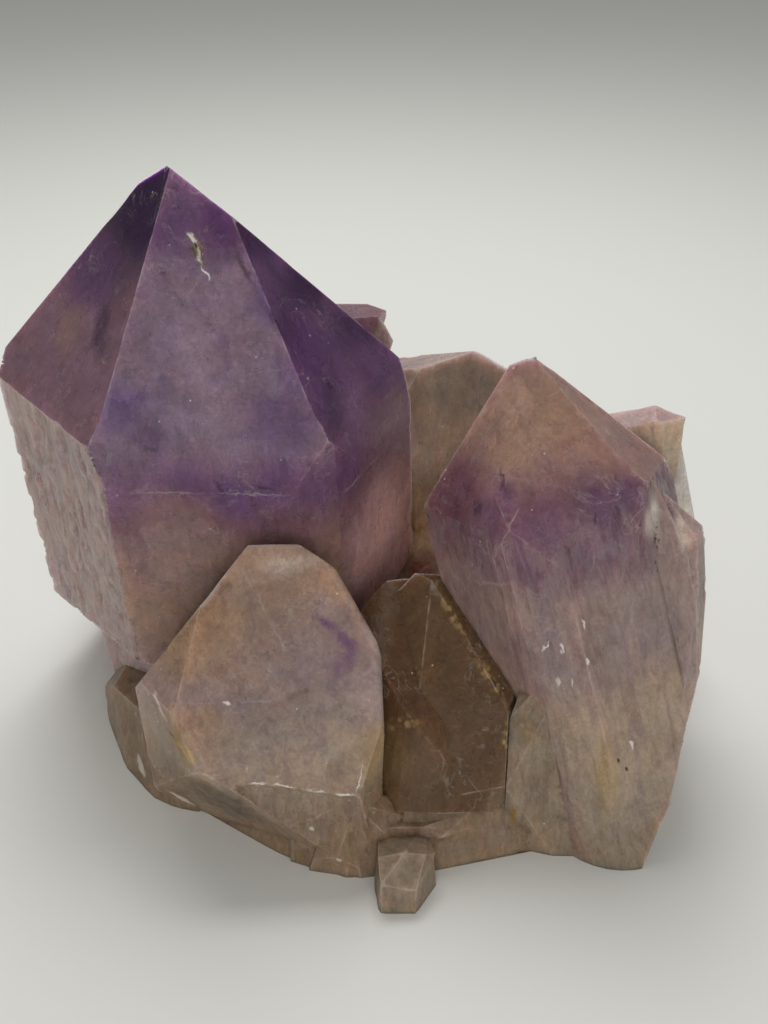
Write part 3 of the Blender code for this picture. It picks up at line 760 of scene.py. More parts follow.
MARKINGS = (
    Marking(GREY_BEIGE, 0.5, (
        Mark((-28.2, 3.6, 100.0), (-25.9, 1.9, 97.2), 2.0, UP_FRONT),
        Mark((-26.3, 1.6, 97.2), (-25.4, 0.0, 94.4), 1.3, UP_FRONT))),
    Marking(FLECK_WHITE, 0.85, (
        Mark((-28.0, 3.5, 99.7), (-26.6, 2.5, 98.3), 0.8, UP_FRONT),
        Mark((-26.9, 2.4, 98.2), (-25.8, 0.6, 95.3), 0.8, UP_FRONT),
        Mark((-25.9, 0.7, 95.4), (-24.3, -0.7, 93.1), 0.5, UP_FRONT),
        Mark((-18.6, -43.1, 22.5), (-14.8, -42.9, 21.9), 0.4, FRONT_FACE),
        Mark((-14.8, -42.9, 21.9), (-10.2, -42.8, 21.0), 0.45, FRONT_FACE),
        Mark((-9.4, -42.8, 20.5), (-4.8, -42.6, 19.4), 0.4, FRONT_FACE),
        Mark((-4.8, -42.6, 19.4), (-0.4, -42.5, 18.9), 0.45, FRONT_FACE),
        Mark((-0.6, -42.5, 18.9), (0.6, -39.0, 23.8), 0.35, FRONT_FACE),
        Mark((33.4, -32.2, 42.9), (33.8, -32.8, 40.8), 0.65, RIGHT_FRONT),
        Mark((36.4, -30.3, 46.8), (37.1, -31.2, 44.4), 0.5, RIGHT_FRONT),
        Mark((33.4, -34.0, 36.9), (33.7, -34.8, 34.5), 0.8, RIGHT_FRONT),
        Mark((35.6, -33.8, 36.6), (35.8, -34.4, 34.9), 0.5, RIGHT_FRONT),
        Mark((37.4, -32.0, 39.8), (37.7, -32.3, 38.7), 0.7, RIGHT_FRONT),
        Mark((30.2, -32.2, 40.2), (31.6, -31.5, 42.4), 0.5, RIGHT_FRONT),
        Mark((-22.4, -34.8, 32.8), (-21.6, -35.1, 32.4), 0.8, FRONT_FACE),
        Mark((46.0, -34.7, 23.6), (46.4, -34.8, 22.6), 1.0, RIGHT_FRONT))),
    Marking(CHIP_YELLOW, 0.8, (
        Mark((-30.6, -37.4, 26.0), (-27.6, -41.0, 24.4), 1.6, (-0.79, -0.61, 0.0), 3.0),
        Mark((-29.2, -38.4, 26.6), (-26.8, -41.2, 24.8), 1.2, FRONT_FACE, 3.0))),
    Marking(BASE_DARK, 0.8, (
        Mark((-33.0, -34.6, 26.6), (-31.0, -36.8, 26.2), 1.2, (-0.79, -0.61, 0.0), 3.0),)),
    Marking(CHIP_PALE, 0.75, (
        Mark((-42.6, -19.6, 5.2), (-41.6, -20.8, 3.0), 3.0, (-0.78, -0.62, 0.11), 3.0),
        Mark((-34.6, -26.4, 4.4), (-31.6, -28.8, 1.4), 2.2, (-0.40, -0.91, 0.0), 3.0),
        Mark((-35.6, -33.2, 33.4), (-33.0, -35.4, 28.4), 1.6, (-0.5, -0.8, 0.2), 3.0),
        Mark((-4.0, -43.0, 4.6), (-3.4, -43.2, 3.8), 0.9, (0.0, -1.0, 0.2), 3.0),
        Mark((-8.4, -42.6, 11.4), (-8.1, -42.6, 10.6), 0.7, (0.0, -1.0, 0.2), 3.0)), 0.6),
    Marking(PALE_QUARTZ, 0.42, (
        Mark((7.6, 8.3, 67.9), (6.9, 7.0, 65.2), 0.5, RIGHT_SIDE),
        Mark((6.9, 7.0, 65.2), (5.4, 4.2, 61.7), 0.5, RIGHT_SIDE),
        Mark((5.4, 4.2, 61.7), (3.5, 0.4, 59.7), 0.5, RIGHT_SIDE),
        Mark((3.5, 0.4, 59.7), (0.7, -5.1, 60.4), 0.6, RIGHT_SIDE),
        Mark((0.7, -5.1, 60.4), (-2.7, -11.6, 58.2), 0.6, RIGHT_SIDE),
        Mark((-39.8, -16.4, 62.2), (-24.0, -15.3, 61.2), 0.5, (0.06, -0.99, -0.1)),
        Mark((-26.0, -15.3, 61.5), (-10.1, -14.3, 60.3), 0.5, (0.06, -0.99, -0.1)),
        Mark((-20.5, -21.5, 51.0), (-17.4, -24.0, 47.3), 0.5, FRONT_FACE),
        Mark((-17.4, -24.0, 47.3), (-15.4, -26.3, 43.9), 0.5, FRONT_FACE),
        Mark((-15.4, -26.3, 43.9), (-11.9, -29.7, 38.6), 0.5, FRONT_FACE),
        Mark((-33.0, -34.0, 32.0), (-22.0, -35.0, 32.6), 0.4, FRONT_FACE),
        Mark((-22.0, -35.0, 32.6), (-11.0, -34.6, 33.0), 0.4, FRONT_FACE),
        Mark((19.0, -20.0, 46.5), (26.5, -27.0, 52.0), 0.9, (-0.5, -0.8, 0.1)),
        Mark((31.0, -33.0, 52.0), (40.0, -31.0, 54.0), 0.6, RIGHT_FRONT))),
    Marking(PLUM, 0.9, (
        Mark((-8.0, -25.0, 43.4), (-3.2, -26.8, 41.1), 2.4, FRONT_FACE),
        Mark((-4.6, -26.5, 41.6), (-0.7, -28.5, 38.4), 3.4, FRONT_FACE)), 0.0),
    Marking(PLUM, 0.6, (
        Mark((-1.0, -28.0, 39.2), (-2.6, -30.8, 35.6), 3.6, FRONT_FACE),
        Mark((-3.4, -29.6, 37.6), (-4.4, -31.4, 34.4), 3.0, FRONT_FACE)), 0.0),
    Marking(DEEP_VIOLET, 0.6, (
        Mark((-5.6, -4.0, 77.0), (-4.8, -5.2, 75.4), 1.6, (0.71, -0.39, 0.59)),
        Mark((-35.2, -16.0, 70.9), (-32.8, -16.2, 69.8), 1.5, UP_FRONT),
        Mark((-24.5, -15.4, 64.5), (-22.5, -15.4, 61.0), 1.3, (0.06, -0.99, -0.1)),
        Mark((-19.0, -15.2, 63.0), (-13.5, -14.6, 61.2), 1.0, (0.06, -0.99, -0.1)),
        Mark((-21.0, 3.0, 99.5), (-16.5, -1.8, 90.5), 1.5, (0.5, -0.6, 0.6)),
        Mark((-16.0, -2.0, 90.0), (-11.5, -5.5, 83.5), 2.0, (0.5, -0.6, 0.6)),
        Mark((41.6, -23.2, 64.6), (42.4, -24.6, 61.6), 1.0, RIGHT_FRONT),
        Mark((38.0, -23.4, 63.0), (38.2, -24.6, 61.0), 0.8, RIGHT_FRONT),
        Mark((23.2, -17.0, 68.6), (23.4, -21.0, 64.6), 0.9, RIGHT_FRONT),
        Mark((19.6, -17.6, 63.0), (19.2, -20.0, 58.6), 0.9, RIGHT_FRONT)), 0.0),
    Marking(STRAW, 0.5, (
        Mark((39.8, -36.4, 23.0), (42.4, -41.4, 3.0), 2.6, RIGHT_FRONT),
        Mark((26.8, -32.4, 27.0), (29.2, -33.6, 22.0), 3.6, RIGHT_FRONT),
        Mark((2.0, -37.6, 29.0), (1.0, -40.6, 18.5), 4.0, (0.6, -0.8, 0.1)),
        Mark((-4.0, -43.6, 8.0), (1.0, -43.6, 4.0), 3.5, (0.0, -1.0, 0.2))), 0.0),
    Marking(OCHRE, 0.55, (
        Mark((-33.6, -36.6, 29.6), (-31.4, -37.8, 26.6), 1.8, FRONT_FACE),
        Mark((-31.4, -37.8, 26.4), (-28.4, -39.6, 22.2), 2.4, FRONT_FACE)), 0.3),
    Marking(OCHRE, 0.85, (Mark((26.4, -36.2, 10.4), (26.8, -36.8, 6.0), 1.5, (-0.2, -0.95, 0.2)),), 0.2),
    Marking(GRAIN_TAN, 0.8, (
        Mark((13.0, -15.4, 42.0), (18.9, -22.6, 35.6), 2.0, (0.34, -0.50, 0.80)),
        Mark((18.6, -22.4, 35.8), (25.4, -31.0, 27.0), 2.6, (0.34, -0.50, 0.80)),
        Mark((18.0, -22.0, 38.5), (22.0, -24.0, 44.0), 1.2, (-0.5, -0.8, 0.3)),
        Mark((4.6, -32.4, 25.0), (10.4, -32.2, 26.2), 3.6, (0.2, -0.6, 0.75)),
        Mark((27.0, -31.8, 26.6), (29.4, -32.8, 23.8), 3.4, (-0.1, -0.9, 0.3)),
        Mark((25.0, -31.2, 26.6), (24.9, -34.2, 16.0), 1.4, (-0.3, -0.9, 0.2))), 0.1, 0.9),
    Marking(RED_SMOKE, 0.85, (Mark((48.6, -20.8, 60.8), (48.9, -23.2, 53.2), 1.3, (0.4, -0.8, 0.4)),), 0.2, 1.6),
    Marking(RUST, 0.9, (
        Mark((43.8, -36.0, 21.1), (44.0, -36.0, 20.5), 0.6, RIGHT_FRONT),
        Mark((45.3, -36.0, 19.2), (45.5, -36.1, 18.7), 0.7, RIGHT_FRONT),
        Mark((-27.0, 2.6, 98.5), (-26.6, 2.1, 97.7), 0.5, UP_FRONT)), 0.4, 0.0, False))


@dataclass
class SkinMap:
    """The mesh as arrays: points in the builder's millimetres, triangles, owners, and how far each point is
    from a ridge (an outward edge) or a crease (an inward one)."""

    spots: np.ndarray
    corners: np.ndarray
    normals: np.ndarray
    owner: np.ndarray
    point_normals: np.ndarray
    point_owner: np.ndarray
    point_face: np.ndarray
    skins: list[tuple[Skin, float]]
    from_ridge: np.ndarray
    from_crease: np.ndarray
    from_groove: np.ndarray

    @classmethod
    def read(cls, cluster: "Cluster") -> "SkinMap":
        """Read the cluster's mesh.

        Args:
            cluster: the cluster, refined into triangles and not yet etched.

        Returns:
            The filled map.
        """
        mesh = cluster.body.data
        count = len(mesh.polygons)
        spots = np.empty(len(mesh.vertices) * 3)
        mesh.vertices.foreach_get("co", spots)
        spots = spots.reshape(-1, 3) / MM + np.array(BOX_MIDDLE)
        corners = np.empty(count * 3, np.int32)
        mesh.loops.foreach_get("vertex_index", corners)
        corners = corners.reshape(-1, 3)
        normals = np.empty(count * 3)
        mesh.polygons.foreach_get("normal", normals)
        normals = normals.reshape(-1, 3)
        owner = np.empty(count, np.int32)
        mesh.polygons.foreach_get("material_index", owner)
        skins: list[tuple[Skin, float]] = []
        known: dict[tuple[Skin, float], int] = {}
        face_skin = np.empty(count, np.int32)
        for row in range(count):
            found = cluster.skin_at(int(owner[row]), Vector(normals[row]))
            if found not in known:
                known[found] = len(skins)
                skins.append(found)
            face_skin[row] = known[found]
        area = np.empty(count)
        mesh.polygons.foreach_get("area", area)
        area = area / MM ** 2
        longest = np.max([np.linalg.norm(spots[corners[:, a]] - spots[corners[:, b]], axis=1)
                          for a, b in ((0, 1), (1, 2), (2, 0))], axis=0)
        sound = 2 * area / np.maximum(longest, 1e-6) > SLIVER
        point_normals = np.zeros_like(spots)
        point_owner = np.zeros(len(spots), np.int32)
        point_face = np.zeros(len(spots), np.int32)
        for rows in (np.flatnonzero(~sound), np.flatnonzero(sound)):
            for side in range(3):
                np.add.at(point_normals, corners[rows, side], normals[rows] * area[rows, None])
                point_owner[corners[rows, side]] = owner[rows]
                point_face[corners[rows, side]] = face_skin[rows]
        point_normals /= np.maximum(np.linalg.norm(point_normals, axis=1, keepdims=True), 1e-9)
        marked = cls.sharp_points(mesh, spots, corners, normals, sound)
        return cls(
            spots, corners, normals, owner, point_normals, point_owner, point_face, skins,
            *(cls.distance(spots, points) for points in marked))

    @staticmethod
    def sharp_points(
            mesh: bpy.types.Mesh, spots: np.ndarray, corners: np.ndarray,
            normals: np.ndarray, sound: np.ndarray) -> tuple[np.ndarray, np.ndarray, np.ndarray]:
        """Points on sharp outward edges, on sharp inward edges and in the deep grooves among those.

        Args:
            mesh: the triangle mesh.
            spots: its points.
            corners: its triangles' points.
            normals: its triangles' normals.
            sound: which triangles are wide enough for their normals to mean anything.

        Returns:
            Three arrays of point numbers.
        """
        edge_of = np.empty(len(mesh.loops), np.int32)
        mesh.loops.foreach_get("edge_index", edge_of)
        faces_of = np.repeat(np.arange(len(corners)), 3)
        order = np.argsort(edge_of, kind="stable")
        edge_sorted = edge_of[order]
        face_sorted = faces_of[order]
        pair = np.flatnonzero(edge_sorted[1:] == edge_sorted[:-1])
        one, two, edges = face_sorted[pair], face_sorted[pair + 1], edge_sorted[pair]
        ends = np.empty(len(mesh.edges) * 2, np.int32)
        mesh.edges.foreach_get("vertices", ends)
        ends = ends.reshape(-1, 2)
        bend = (normals[one] * normals[two]).sum(1)
        sharp = (bend < math.cos(math.radians(11))) & sound[one] & sound[two]
        middle = spots[corners].mean(1)
        outward = ((middle[two] - middle[one]) * normals[one]).sum(1) < 0
        ridge = np.unique(ends[edges[sharp & outward]])
        crease = np.unique(ends[edges[sharp & ~outward]])
        groove = np.unique(ends[edges[sharp & ~outward & (bend < math.cos(math.radians(34)))]])
        return ridge, crease, groove

    @staticmethod
    def distance(spots: np.ndarray, marked: np.ndarray) -> np.ndarray:
        """Distance in millimetres from every point to the nearest marked one."""
        tree = kdtree.KDTree(len(marked))
        for number, index in enumerate(marked):
            tree.insert(spots[index], number)
        tree.balance()
        return np.array([tree.find(spot)[2] for spot in spots])

    def waver(self, pitch: float, amount: float) -> np.ndarray:
        """An uneven shift of every point, in millimetres, that makes zone edges cloudy.

        Args:
            pitch: how fast it changes, per millimetre.
            amount: how far it shifts.

        Returns:
            One vector for each point.
        """
        shifts = np.empty_like(self.spots)
        for index, spot in enumerate(self.spots):
            place = Vector(spot) * pitch
            shifts[index] = [noise.noise(place + Vector((apart, 0, 0))) for apart in (0.0, 31.7, 67.3)]
        return shifts * amount


@dataclass
class Cluster:
    """The whole cluster: crystals and broken rock grown together, refined, etched and coloured."""

    name: str
    crystals: list[Crystal]
    rocks: list[Rock]
    chips: list[Chip]
    stains: tuple[Cloud, ...] = ()
    cell_front: float = 1.35
    cell_grown: float = 2.0
    cell_back: float = 3.4
    body: bpy.types.Object | None = None
    skins: dict[tuple, tuple[Skin, float]] = field(default_factory=dict)

    def grow(self) -> None:
        """Carve every crystal and lump, and join them into one closed body on a flat underside."""
        grown = self.group("grown_together")
        taken = self.group("cut_off")
        underside = -12.0
        self.body = self.rocks[0].shape(underside)
        for number, rock in enumerate(self.rocks):
            rock.number = number
            if number:
                underside -= 0.5
                self.hand_over(rock.shape(underside), grown, number)
        for number, crystal in enumerate(self.crystals, start=len(self.rocks)):
            crystal.number = number
            underside -= 0.5
            self.hand_over(crystal.carve(underside), grown, number)
        for number, chip in enumerate(self.chips):
            self.hand_over(chip.shape(f"chip_{number}"), taken, 0)
        deselect()
        bpy.ops.mesh.primitive_cube_add(size=BLOCK * MM, location=(0, 0, (GROUND - BLOCK / 2) * MM))
        self.hand_over(name_piece("ground_cut"), taken, 0)
        self.mark(self.body, 0)
        self.combine("UNION", grown)
        self.combine("DIFFERENCE", taken)
        for group in (grown, taken):
            for tool in list(group.objects):
                bpy.data.objects.remove(tool)
            bpy.data.collections.remove(group)
        self.body.name = self.name
        self.body.data.name = self.name

    def group(self, name: str) -> bpy.types.Collection:
        """A collection of solids for one Boolean."""
        made = bpy.data.collections.new(name)
        bpy.context.scene.collection.children.link(made)
        return made

    def mark(self, piece: bpy.types.Object, number: int) -> None:
        """Give every face of a solid the number that it grew from, carried through the Boolean as a slot."""
        for slot in range(len(self.rocks) + len(self.crystals)):
            material = bpy.data.materials.get(f"from_{slot}") or bpy.data.materials.new(f"from_{slot}")
            piece.data.materials.append(material)
        for polygon in piece.data.polygons:
            polygon.material_index = number

    def hand_over(self, piece: bpy.types.Object, group: bpy.types.Collection, number: int) -> None:
        """Mark a solid and move it into a Boolean's collection."""
        self.mark(piece, number)
        for home in list(piece.users_collection):
            home.objects.unlink(piece)
        group.objects.link(piece)

    def combine(self, operation: str, tools: bpy.types.Collection) -> None:
        """Join or cut with one Boolean over a collection, applied at once.

        Args:
            operation: UNION or DIFFERENCE.
            tools: the collection of solids.
        """
        take_up(self.body)
        boolean = self.body.modifiers.new(tools.name, "BOOLEAN")
        boolean.operation = operation
        boolean.solver = "EXACT"
        boolean.operand_type = "COLLECTION"
        boolean.collection = tools
        bpy.ops.object.modifier_apply(modifier=boolean.name)

    def refine(self) -> None:
        """Divide every long edge again and again until the faces hold fine relief, without moving a corner."""
        take_up(self.body)
        bpy.ops.object.mode_set(mode="EDIT")
        bpy.ops.mesh.select_all(action="SELECT")
        bpy.ops.mesh.remove_doubles(threshold=0.02 * MM)
        bpy.ops.mesh.select_all(action="SELECT")
        bpy.ops.mesh.quads_convert_to_tris(quad_method="BEAUTY", ngon_method="BEAUTY")
        for _ in range(9):
            bpy.ops.mesh.select_all(action="DESELECT")
            mesh = bmesh.from_edit_mesh(self.body.data)
            long_edges = [edge for edge in mesh.edges if edge.calc_length() > self.cell(edge)]
            if len(long_edges) < 50:
                break
            for edge in long_edges:
                edge.select = True
            mesh.select_flush_mode()
            bmesh.update_edit_mesh(self.body.data)
            bpy.ops.mesh.subdivide(number_cuts=1, ngon=True, quadcorner="STRAIGHT_CUT")
            bpy.ops.mesh.select_all(action="SELECT")
            bpy.ops.mesh.quads_convert_to_tris(quad_method="SHORTEST_DIAGONAL", ngon_method="BEAUTY")
            bpy.ops.mesh.select_all(action="SELECT")
            bpy.ops.mesh.beautify_fill(angle_limit=math.radians(0.4))
        bpy.ops.object.mode_set(mode="OBJECT")

    def cell(self, edge: bmesh.types.BMEdge) -> float:
        """The longest edge allowed, in metres: fine on etched sides that the front shows, coarse behind and below."""
        if max(vert.co.z for vert in edge.verts) < 0.2 * MM:
            return 8.0 * MM
        facing = min(face.normal.y for face in edge.link_faces)
        if facing > 0.25 or edge.verts[0].co.y > 30 * MM:
            return self.cell_back * MM
        skins = {self.skin_at(face.material_index, face.normal)[0] for face in edge.link_faces}
        return (self.cell_grown if skins == {Skin.GROWN} else self.cell_front) * MM

    def skin_at(self, number: int, normal: Vector) -> tuple[Skin, float]:
        """The skin and the depth of relief of the face that has this number and normal."""
        key = (number, round(normal.x, 2), round(normal.y, 2), round(normal.z, 2))
        if key not in self.skins:
            self.skins[key] = self.look_up_skin(number, normal)
        return self.skins[key]

    def look_up_skin(self, number: int, normal: Vector) -> tuple[Skin, float]:
        """Find the crystal face that a normal belongs to, or say that it is broken rock."""
        if number < len(self.rocks):
            return self.rocks[number].skin, self.rocks[number].depth
        crystal = self.crystals[number - len(self.rocks)]
        best = max(crystal.faces, key=lambda face: crystal.normal(face.bearing, face.polar).dot(normal))
        return best.skin, best.depth

    def read_skin(self) -> "SkinMap":
        """Gather the mesh's points, faces and sharp edges once, for the relief and the colours."""
        return SkinMap.read(self)

    def etch(self, skin: "SkinMap") -> None:
        """Sink pits, growth steps and chipped edges into the mesh by moving its points inwards.

        Args:
            skin: the mesh's points and faces.
        """
        spots = skin.spots
        moved = skin.spots.copy()
        taper = smooth_step(0.0, 1.6, np.minimum(skin.from_ridge, skin.from_crease))
        for index in range(len(spots)):
            spot = Vector(spots[index])
            if spot.z < 0.05:
                continue
            depth = self.relief(spot, skin, index) * float(taper[index])
            if skin.from_ridge[index] < 2.0:
                worn = self.worn(spot, int(skin.point_owner[index]), skin.skins[int(skin.point_face[index])])
                depth += worn * math.exp(-(float(skin.from_ridge[index]) / 0.8) ** 2)
            moved[index] = spots[index] - skin.point_normals[index] * depth
            moved[index][2] = max(moved[index][2], 0.0)
        metres = (moved - np.array(BOX_MIDDLE)) * MM
        self.body.data.vertices.foreach_set("co", metres.ravel())
        self.body.data.update()

    def worn(self, spot: Vector, owner: int, skin: tuple[Skin, float]) -> float:
        """How far an edge is worn in: a fine nibble, small chips here and there, and bites beside etched sides.

        Args:
            spot: the point in the builder's millimetres.
            owner: the number of its crystal or rock.
            skin: the skin beside it and that skin's depth.

        Returns:
            The depth in millimetres at the edge itself.
        """
        nibble = 0.03 * abs(noise.noise(spot * 0.7))
        if skin[0] is Skin.ETCHED:
            nibble += skin[1] * 0.75 * smooth_one(0.0, 0.35, noise.noise(spot * 0.33) + 0.5 * noise.noise(spot * 0.9))
        wear = 0.12 if owner == len(self.rocks) and spot.z > 66 else 0.28
        return nibble + wear * smooth_one(0.2, 0.55, noise.noise(spot * 0.16 + Vector((4.1, 9.2, 1.7))))

    def relief(self, spot: Vector, skin: "SkinMap", index: int) -> float:
        """How far a point inside a face is sunk, in millimetres.

        Args:
            spot: the point in the builder's millimetres.
            skin: the mesh's points and faces.
            index: the point's number.

        Returns:
            Depth below the flat face, never above it.
        """
        kind, depth = skin.skins[int(skin.point_face[index])]
        if kind is Skin.BROKEN or skin.point_owner[index] < len(self.rocks):
            rough = noise.noise(spot * 0.16) + 0.5 * noise.noise(spot * 0.45) + 0.25 * noise.noise(spot * 1.1)
            return depth * (0.45 + 0.8 * rough)
        crystal = self.crystals[int(skin.point_owner[index]) - len(self.rocks)]
        local = crystal.axis().transposed() @ (spot - Vector(crystal.tip))
        if kind is Skin.ETCHED:
            upright = Vector((local.x * 0.4, local.y * 0.4, local.z * 0.11))
            fine = Vector((local.x * 0.95, local.y * 0.95, local.z * 0.3))
            pit = noise.noise(upright) + 0.6 * noise.noise(fine)
            step = smooth_one(-0.1, 0.14, pit) * 0.45 + smooth_one(0.22, 0.42, pit) * 0.45
            return depth * (0.05 + step)
        broad = noise.noise(spot * 0.085) + 0.4 * noise.noise(spot * 0.21) + 0.3 * noise.noise(spot * 0.5)
        growth = noise.noise(Vector((local.x * 0.05, local.y * 0.05, local.z * 0.55)))
        if kind is Skin.STRIATED:
            growth = 2 * noise.noise(Vector((local.x * 0.5, local.y * 0.5, local.z * 0.06)))
        steps = sum(ledge.sunk(spot) for ledge in crystal.ledges)
        return depth * (0.6 + 0.7 * broad + 0.3 * growth) + steps

    def colour(self, skin: "SkinMap") -> None:
        """Lay the quartz's colour zones, frosting, and the distances from edges that the material turns into pale rims
        (partly painted highlight), painted edge light and painted crease shade, into mesh attributes.

        Args:
            skin: the mesh's points and faces, read before it was etched.
        """
        mesh = self.body.data
        corners = skin.corners
        slow = skin.waver(0.085, 3.4)
        quick = skin.waver(0.3, 1.9)
        tint = np.zeros((*corners.shape, 3))
        for number, rock in enumerate(self.rocks):
            tint[skin.owner == number] = rock.colour
        for crystal in self.crystals:
            rows = np.flatnonzero(skin.owner == crystal.number)
            spots = skin.spots[corners[rows]]
            warped = spots + slow[corners[rows]]
            axis = np.array(crystal.axis().col[2])
            below = (np.array(crystal.tip) - warped) @ axis
            marks = [mark for mark, _ in crystal.zoning.bands]
            ink = np.stack([np.interp(below, marks, [c[k] for _, c in crystal.zoning.bands]) for k in range(3)], -1)
            for bearing, polar, shade, strength in crystal.zoning.tints:
                facing = smooth_step(0.86, 0.985, skin.normals[rows] @ np.array(crystal.normal(bearing, polar)))
                ink += (np.array(shade) - ink) * (facing * strength)[:, None, None]
            tint[rows] = ink
            for cloud in crystal.zoning.clouds:
                weight = self.reach(cloud, spots, (slow + quick)[corners[rows]])
                if cloud.facing:
                    turned = skin.normals[rows] @ np.array(crystal.normal(*cloud.facing))
                    weight = weight * smooth_step(0.86, 0.985, turned)[:, None]
                tint[rows] += (np.array(cloud.colour) - tint[rows]) * weight[..., None]
        for stain in self.stains:
            weight = self.reach(stain, skin.spots[corners], (slow + quick)[corners])
            tint += (np.array(stain.colour) - tint) * weight[..., None]
        self.lay_places(skin)
        self.lay("quartz_tint", "CORNER", np.concatenate([tint, np.ones((*corners.shape, 1))], -1).reshape(-1, 4))
        frosted = {Skin.GROWN: 0.0, Skin.STRIATED: 0.35, Skin.ETCHED: 1.0, Skin.BROKEN: 0.3}
        frost = np.array([frosted[kind] for kind, _ in skin.skins])
        # Channels: distance from outward edges (for the painted edge light and pale rims), distance from deep inward
        # creases (for the painted crease shade), frosting, and one.
        surface = np.stack([
            np.clip(skin.from_ridge / 4, 0, 1), np.clip(skin.from_groove / 4, 0, 1),
            frost[skin.point_face], np.ones(len(skin.spots))], -1)
        self.lay("quartz_surface", "POINT", surface)
        mesh.update()

    @staticmethod
    def reach(cloud: Cloud, spots: np.ndarray, shifts: np.ndarray) -> np.ndarray:
        """How strongly a cloud colours each place.

        Args:
            cloud: the patch of colour.
            spots: places in the builder's millimetres.
            shifts: how far each place is shifted to make the cloud's edge ragged.

        Returns:
            A weight for each place.
        """
        place = spots + shifts * cloud.ragged
        away = np.linalg.norm((place - np.array(cloud.centre)) / np.array(cloud.radii), axis=-1)
        return cloud.strength * (1 - smooth_step(0.35, 1.25, away))

    def lay_places(self, skin: "SkinMap") -> None:
        """Store where each corner is in its own crystal, right, back and along the axis, in millimetres."""
        places = skin.spots[skin.corners]
        for crystal in self.crystals:
            rows = skin.owner == crystal.number
            places[rows] = (places[rows] - np.array(crystal.tip)) @ np.array(crystal.axis())
        layer = self.body.data.attributes.new("quartz_place", "FLOAT_VECTOR", "CORNER")
        layer.data.foreach_set("vector", places.astype(np.float32).ravel())

    def lay(self, name: str, domain: str, values: np.ndarray) -> None:
        """Store one four-channel attribute on the mesh."""
        layer = self.body.data.attributes.new(name, "FLOAT_COLOR", domain)
        layer.data.foreach_set("color", values.astype(np.float32).ravel())

    def dress(self, finish: "QuartzFinish") -> None:
        """Give the body its one material and smooth its relief without softening the crystal edges."""
        mesh = self.body.data
        mesh.materials.clear()
        mesh.materials.append(finish.material())
        mesh.polygons.foreach_set("material_index", np.zeros(len(mesh.polygons), np.int32))
        take_up(self.body)
        bpy.ops.object.shade_smooth_by_angle(angle=math.radians(24))

    def report(self) -> None:
        """Log the size of the finished mesh."""
        mesh = self.body.data
        log.info("%s: %d vertices, %d faces", self.name, len(mesh.vertices), len(mesh.polygons))


class Sheet:
    """A material's node tree, with short ways to add and join its nodes."""

    def __init__(self, material: bpy.types.Material) -> None:
        """Keep the tree and empty it."""
        material.use_nodes = True
        self.tree = material.node_tree
        self.tree.nodes.clear()

    def add(self, kind: str, **settings: object) -> bpy.types.Node:
        """Add a node and set its own properties."""
        node = self.tree.nodes.new(kind)
        for key, value in settings.items():
            setattr(node, key, value)
        return node

    def feed(self, socket: bpy.types.NodeSocket, value: object) -> None:
        """Join a socket to another, or set it to a plain value."""
        if isinstance(value, bpy.types.NodeSocket):
            self.tree.links.new(value, socket)
        else:
            socket.default_value = value

    def sum(self, operation: str, one: object, two: object = 0.0, clamp: bool = False) -> bpy.types.NodeSocket:
        """A maths node's result."""
        node = self.add("ShaderNodeMath", operation=operation, use_clamp=clamp)
        self.feed(node.inputs[0], one)
        self.feed(node.inputs[1], two)
        return node.outputs[0]

    def stretch(self, value: object, low: float, high: float, to_low: float = 0.0, to_high: float = 1.0) -> bpy.types.NodeSocket:
        """A smooth remap of a value from one range to another.

        Args:
            value: the socket that is read.
            low: where the result leaves to_low.
            high: where the result reaches to_high.
            to_low: the first result.
            to_high: the last result.

        Returns:
            The result's socket.
        """
        node = self.add("ShaderNodeMapRange", interpolation_type="SMOOTHSTEP")
        self.feed(node.inputs["Value"], value)
        for name, number in (("From Min", low), ("From Max", high), ("To Min", to_low), ("To Max", to_high)):
            node.inputs[name].default_value = number
        return node.outputs["Result"]

    def blend(self, amount: object, one: object, two: object, mode: str = "MIX") -> bpy.types.NodeSocket:
        """A mix of two colours."""
        node = self.add("ShaderNodeMix", data_type="RGBA", blend_type=mode)
        self.feed(node.inputs[0], amount)
        self.feed(node.inputs[6], one)
        self.feed(node.inputs[7], two)
        return node.outputs[2]

    def grain(self, coordinates: bpy.types.NodeSocket, scale: float, detail: float = 4.0, roughness: float = 0.55,
              distortion: float = 0.0) -> bpy.types.NodeSocket:
        """A noise texture's value.

        Args:
            coordinates: where it is read, in millimetres.
            scale: how fast it changes, per millimetre.
            detail: how many finer layers it has.
            roughness: how strong they are.
            distortion: how much it swirls.

        Returns:
            The value's socket, from 0 to 1.
        """
        node = self.add("ShaderNodeTexNoise")
        self.feed(node.inputs["Vector"], coordinates)
        for name, number in (("Scale", scale), ("Detail", detail), ("Roughness", roughness), ("Distortion", distortion)):
            node.inputs[name].default_value = number
        return node.outputs["Fac"]

    def place(self) -> bpy.types.NodeSocket:
        """Object coordinates in millimetres."""
        node = self.add("ShaderNodeMapping")
        self.feed(node.inputs["Vector"], self.add("ShaderNodeTexCoord").outputs["Object"])
        node.inputs["Scale"].default_value = (1000, 1000, 1000)
        return node.outputs["Vector"]

    def along_crystal(self, scale: Point) -> bpy.types.NodeSocket:
        """Each crystal's own coordinates in millimetres, stretched as asked."""
        node = self.add("ShaderNodeMapping")
        self.feed(node.inputs["Vector"], self.add("ShaderNodeAttribute", attribute_name="quartz_place").outputs["Vector"])
        node.inputs["Scale"].default_value = scale
        return node.outputs["Vector"]


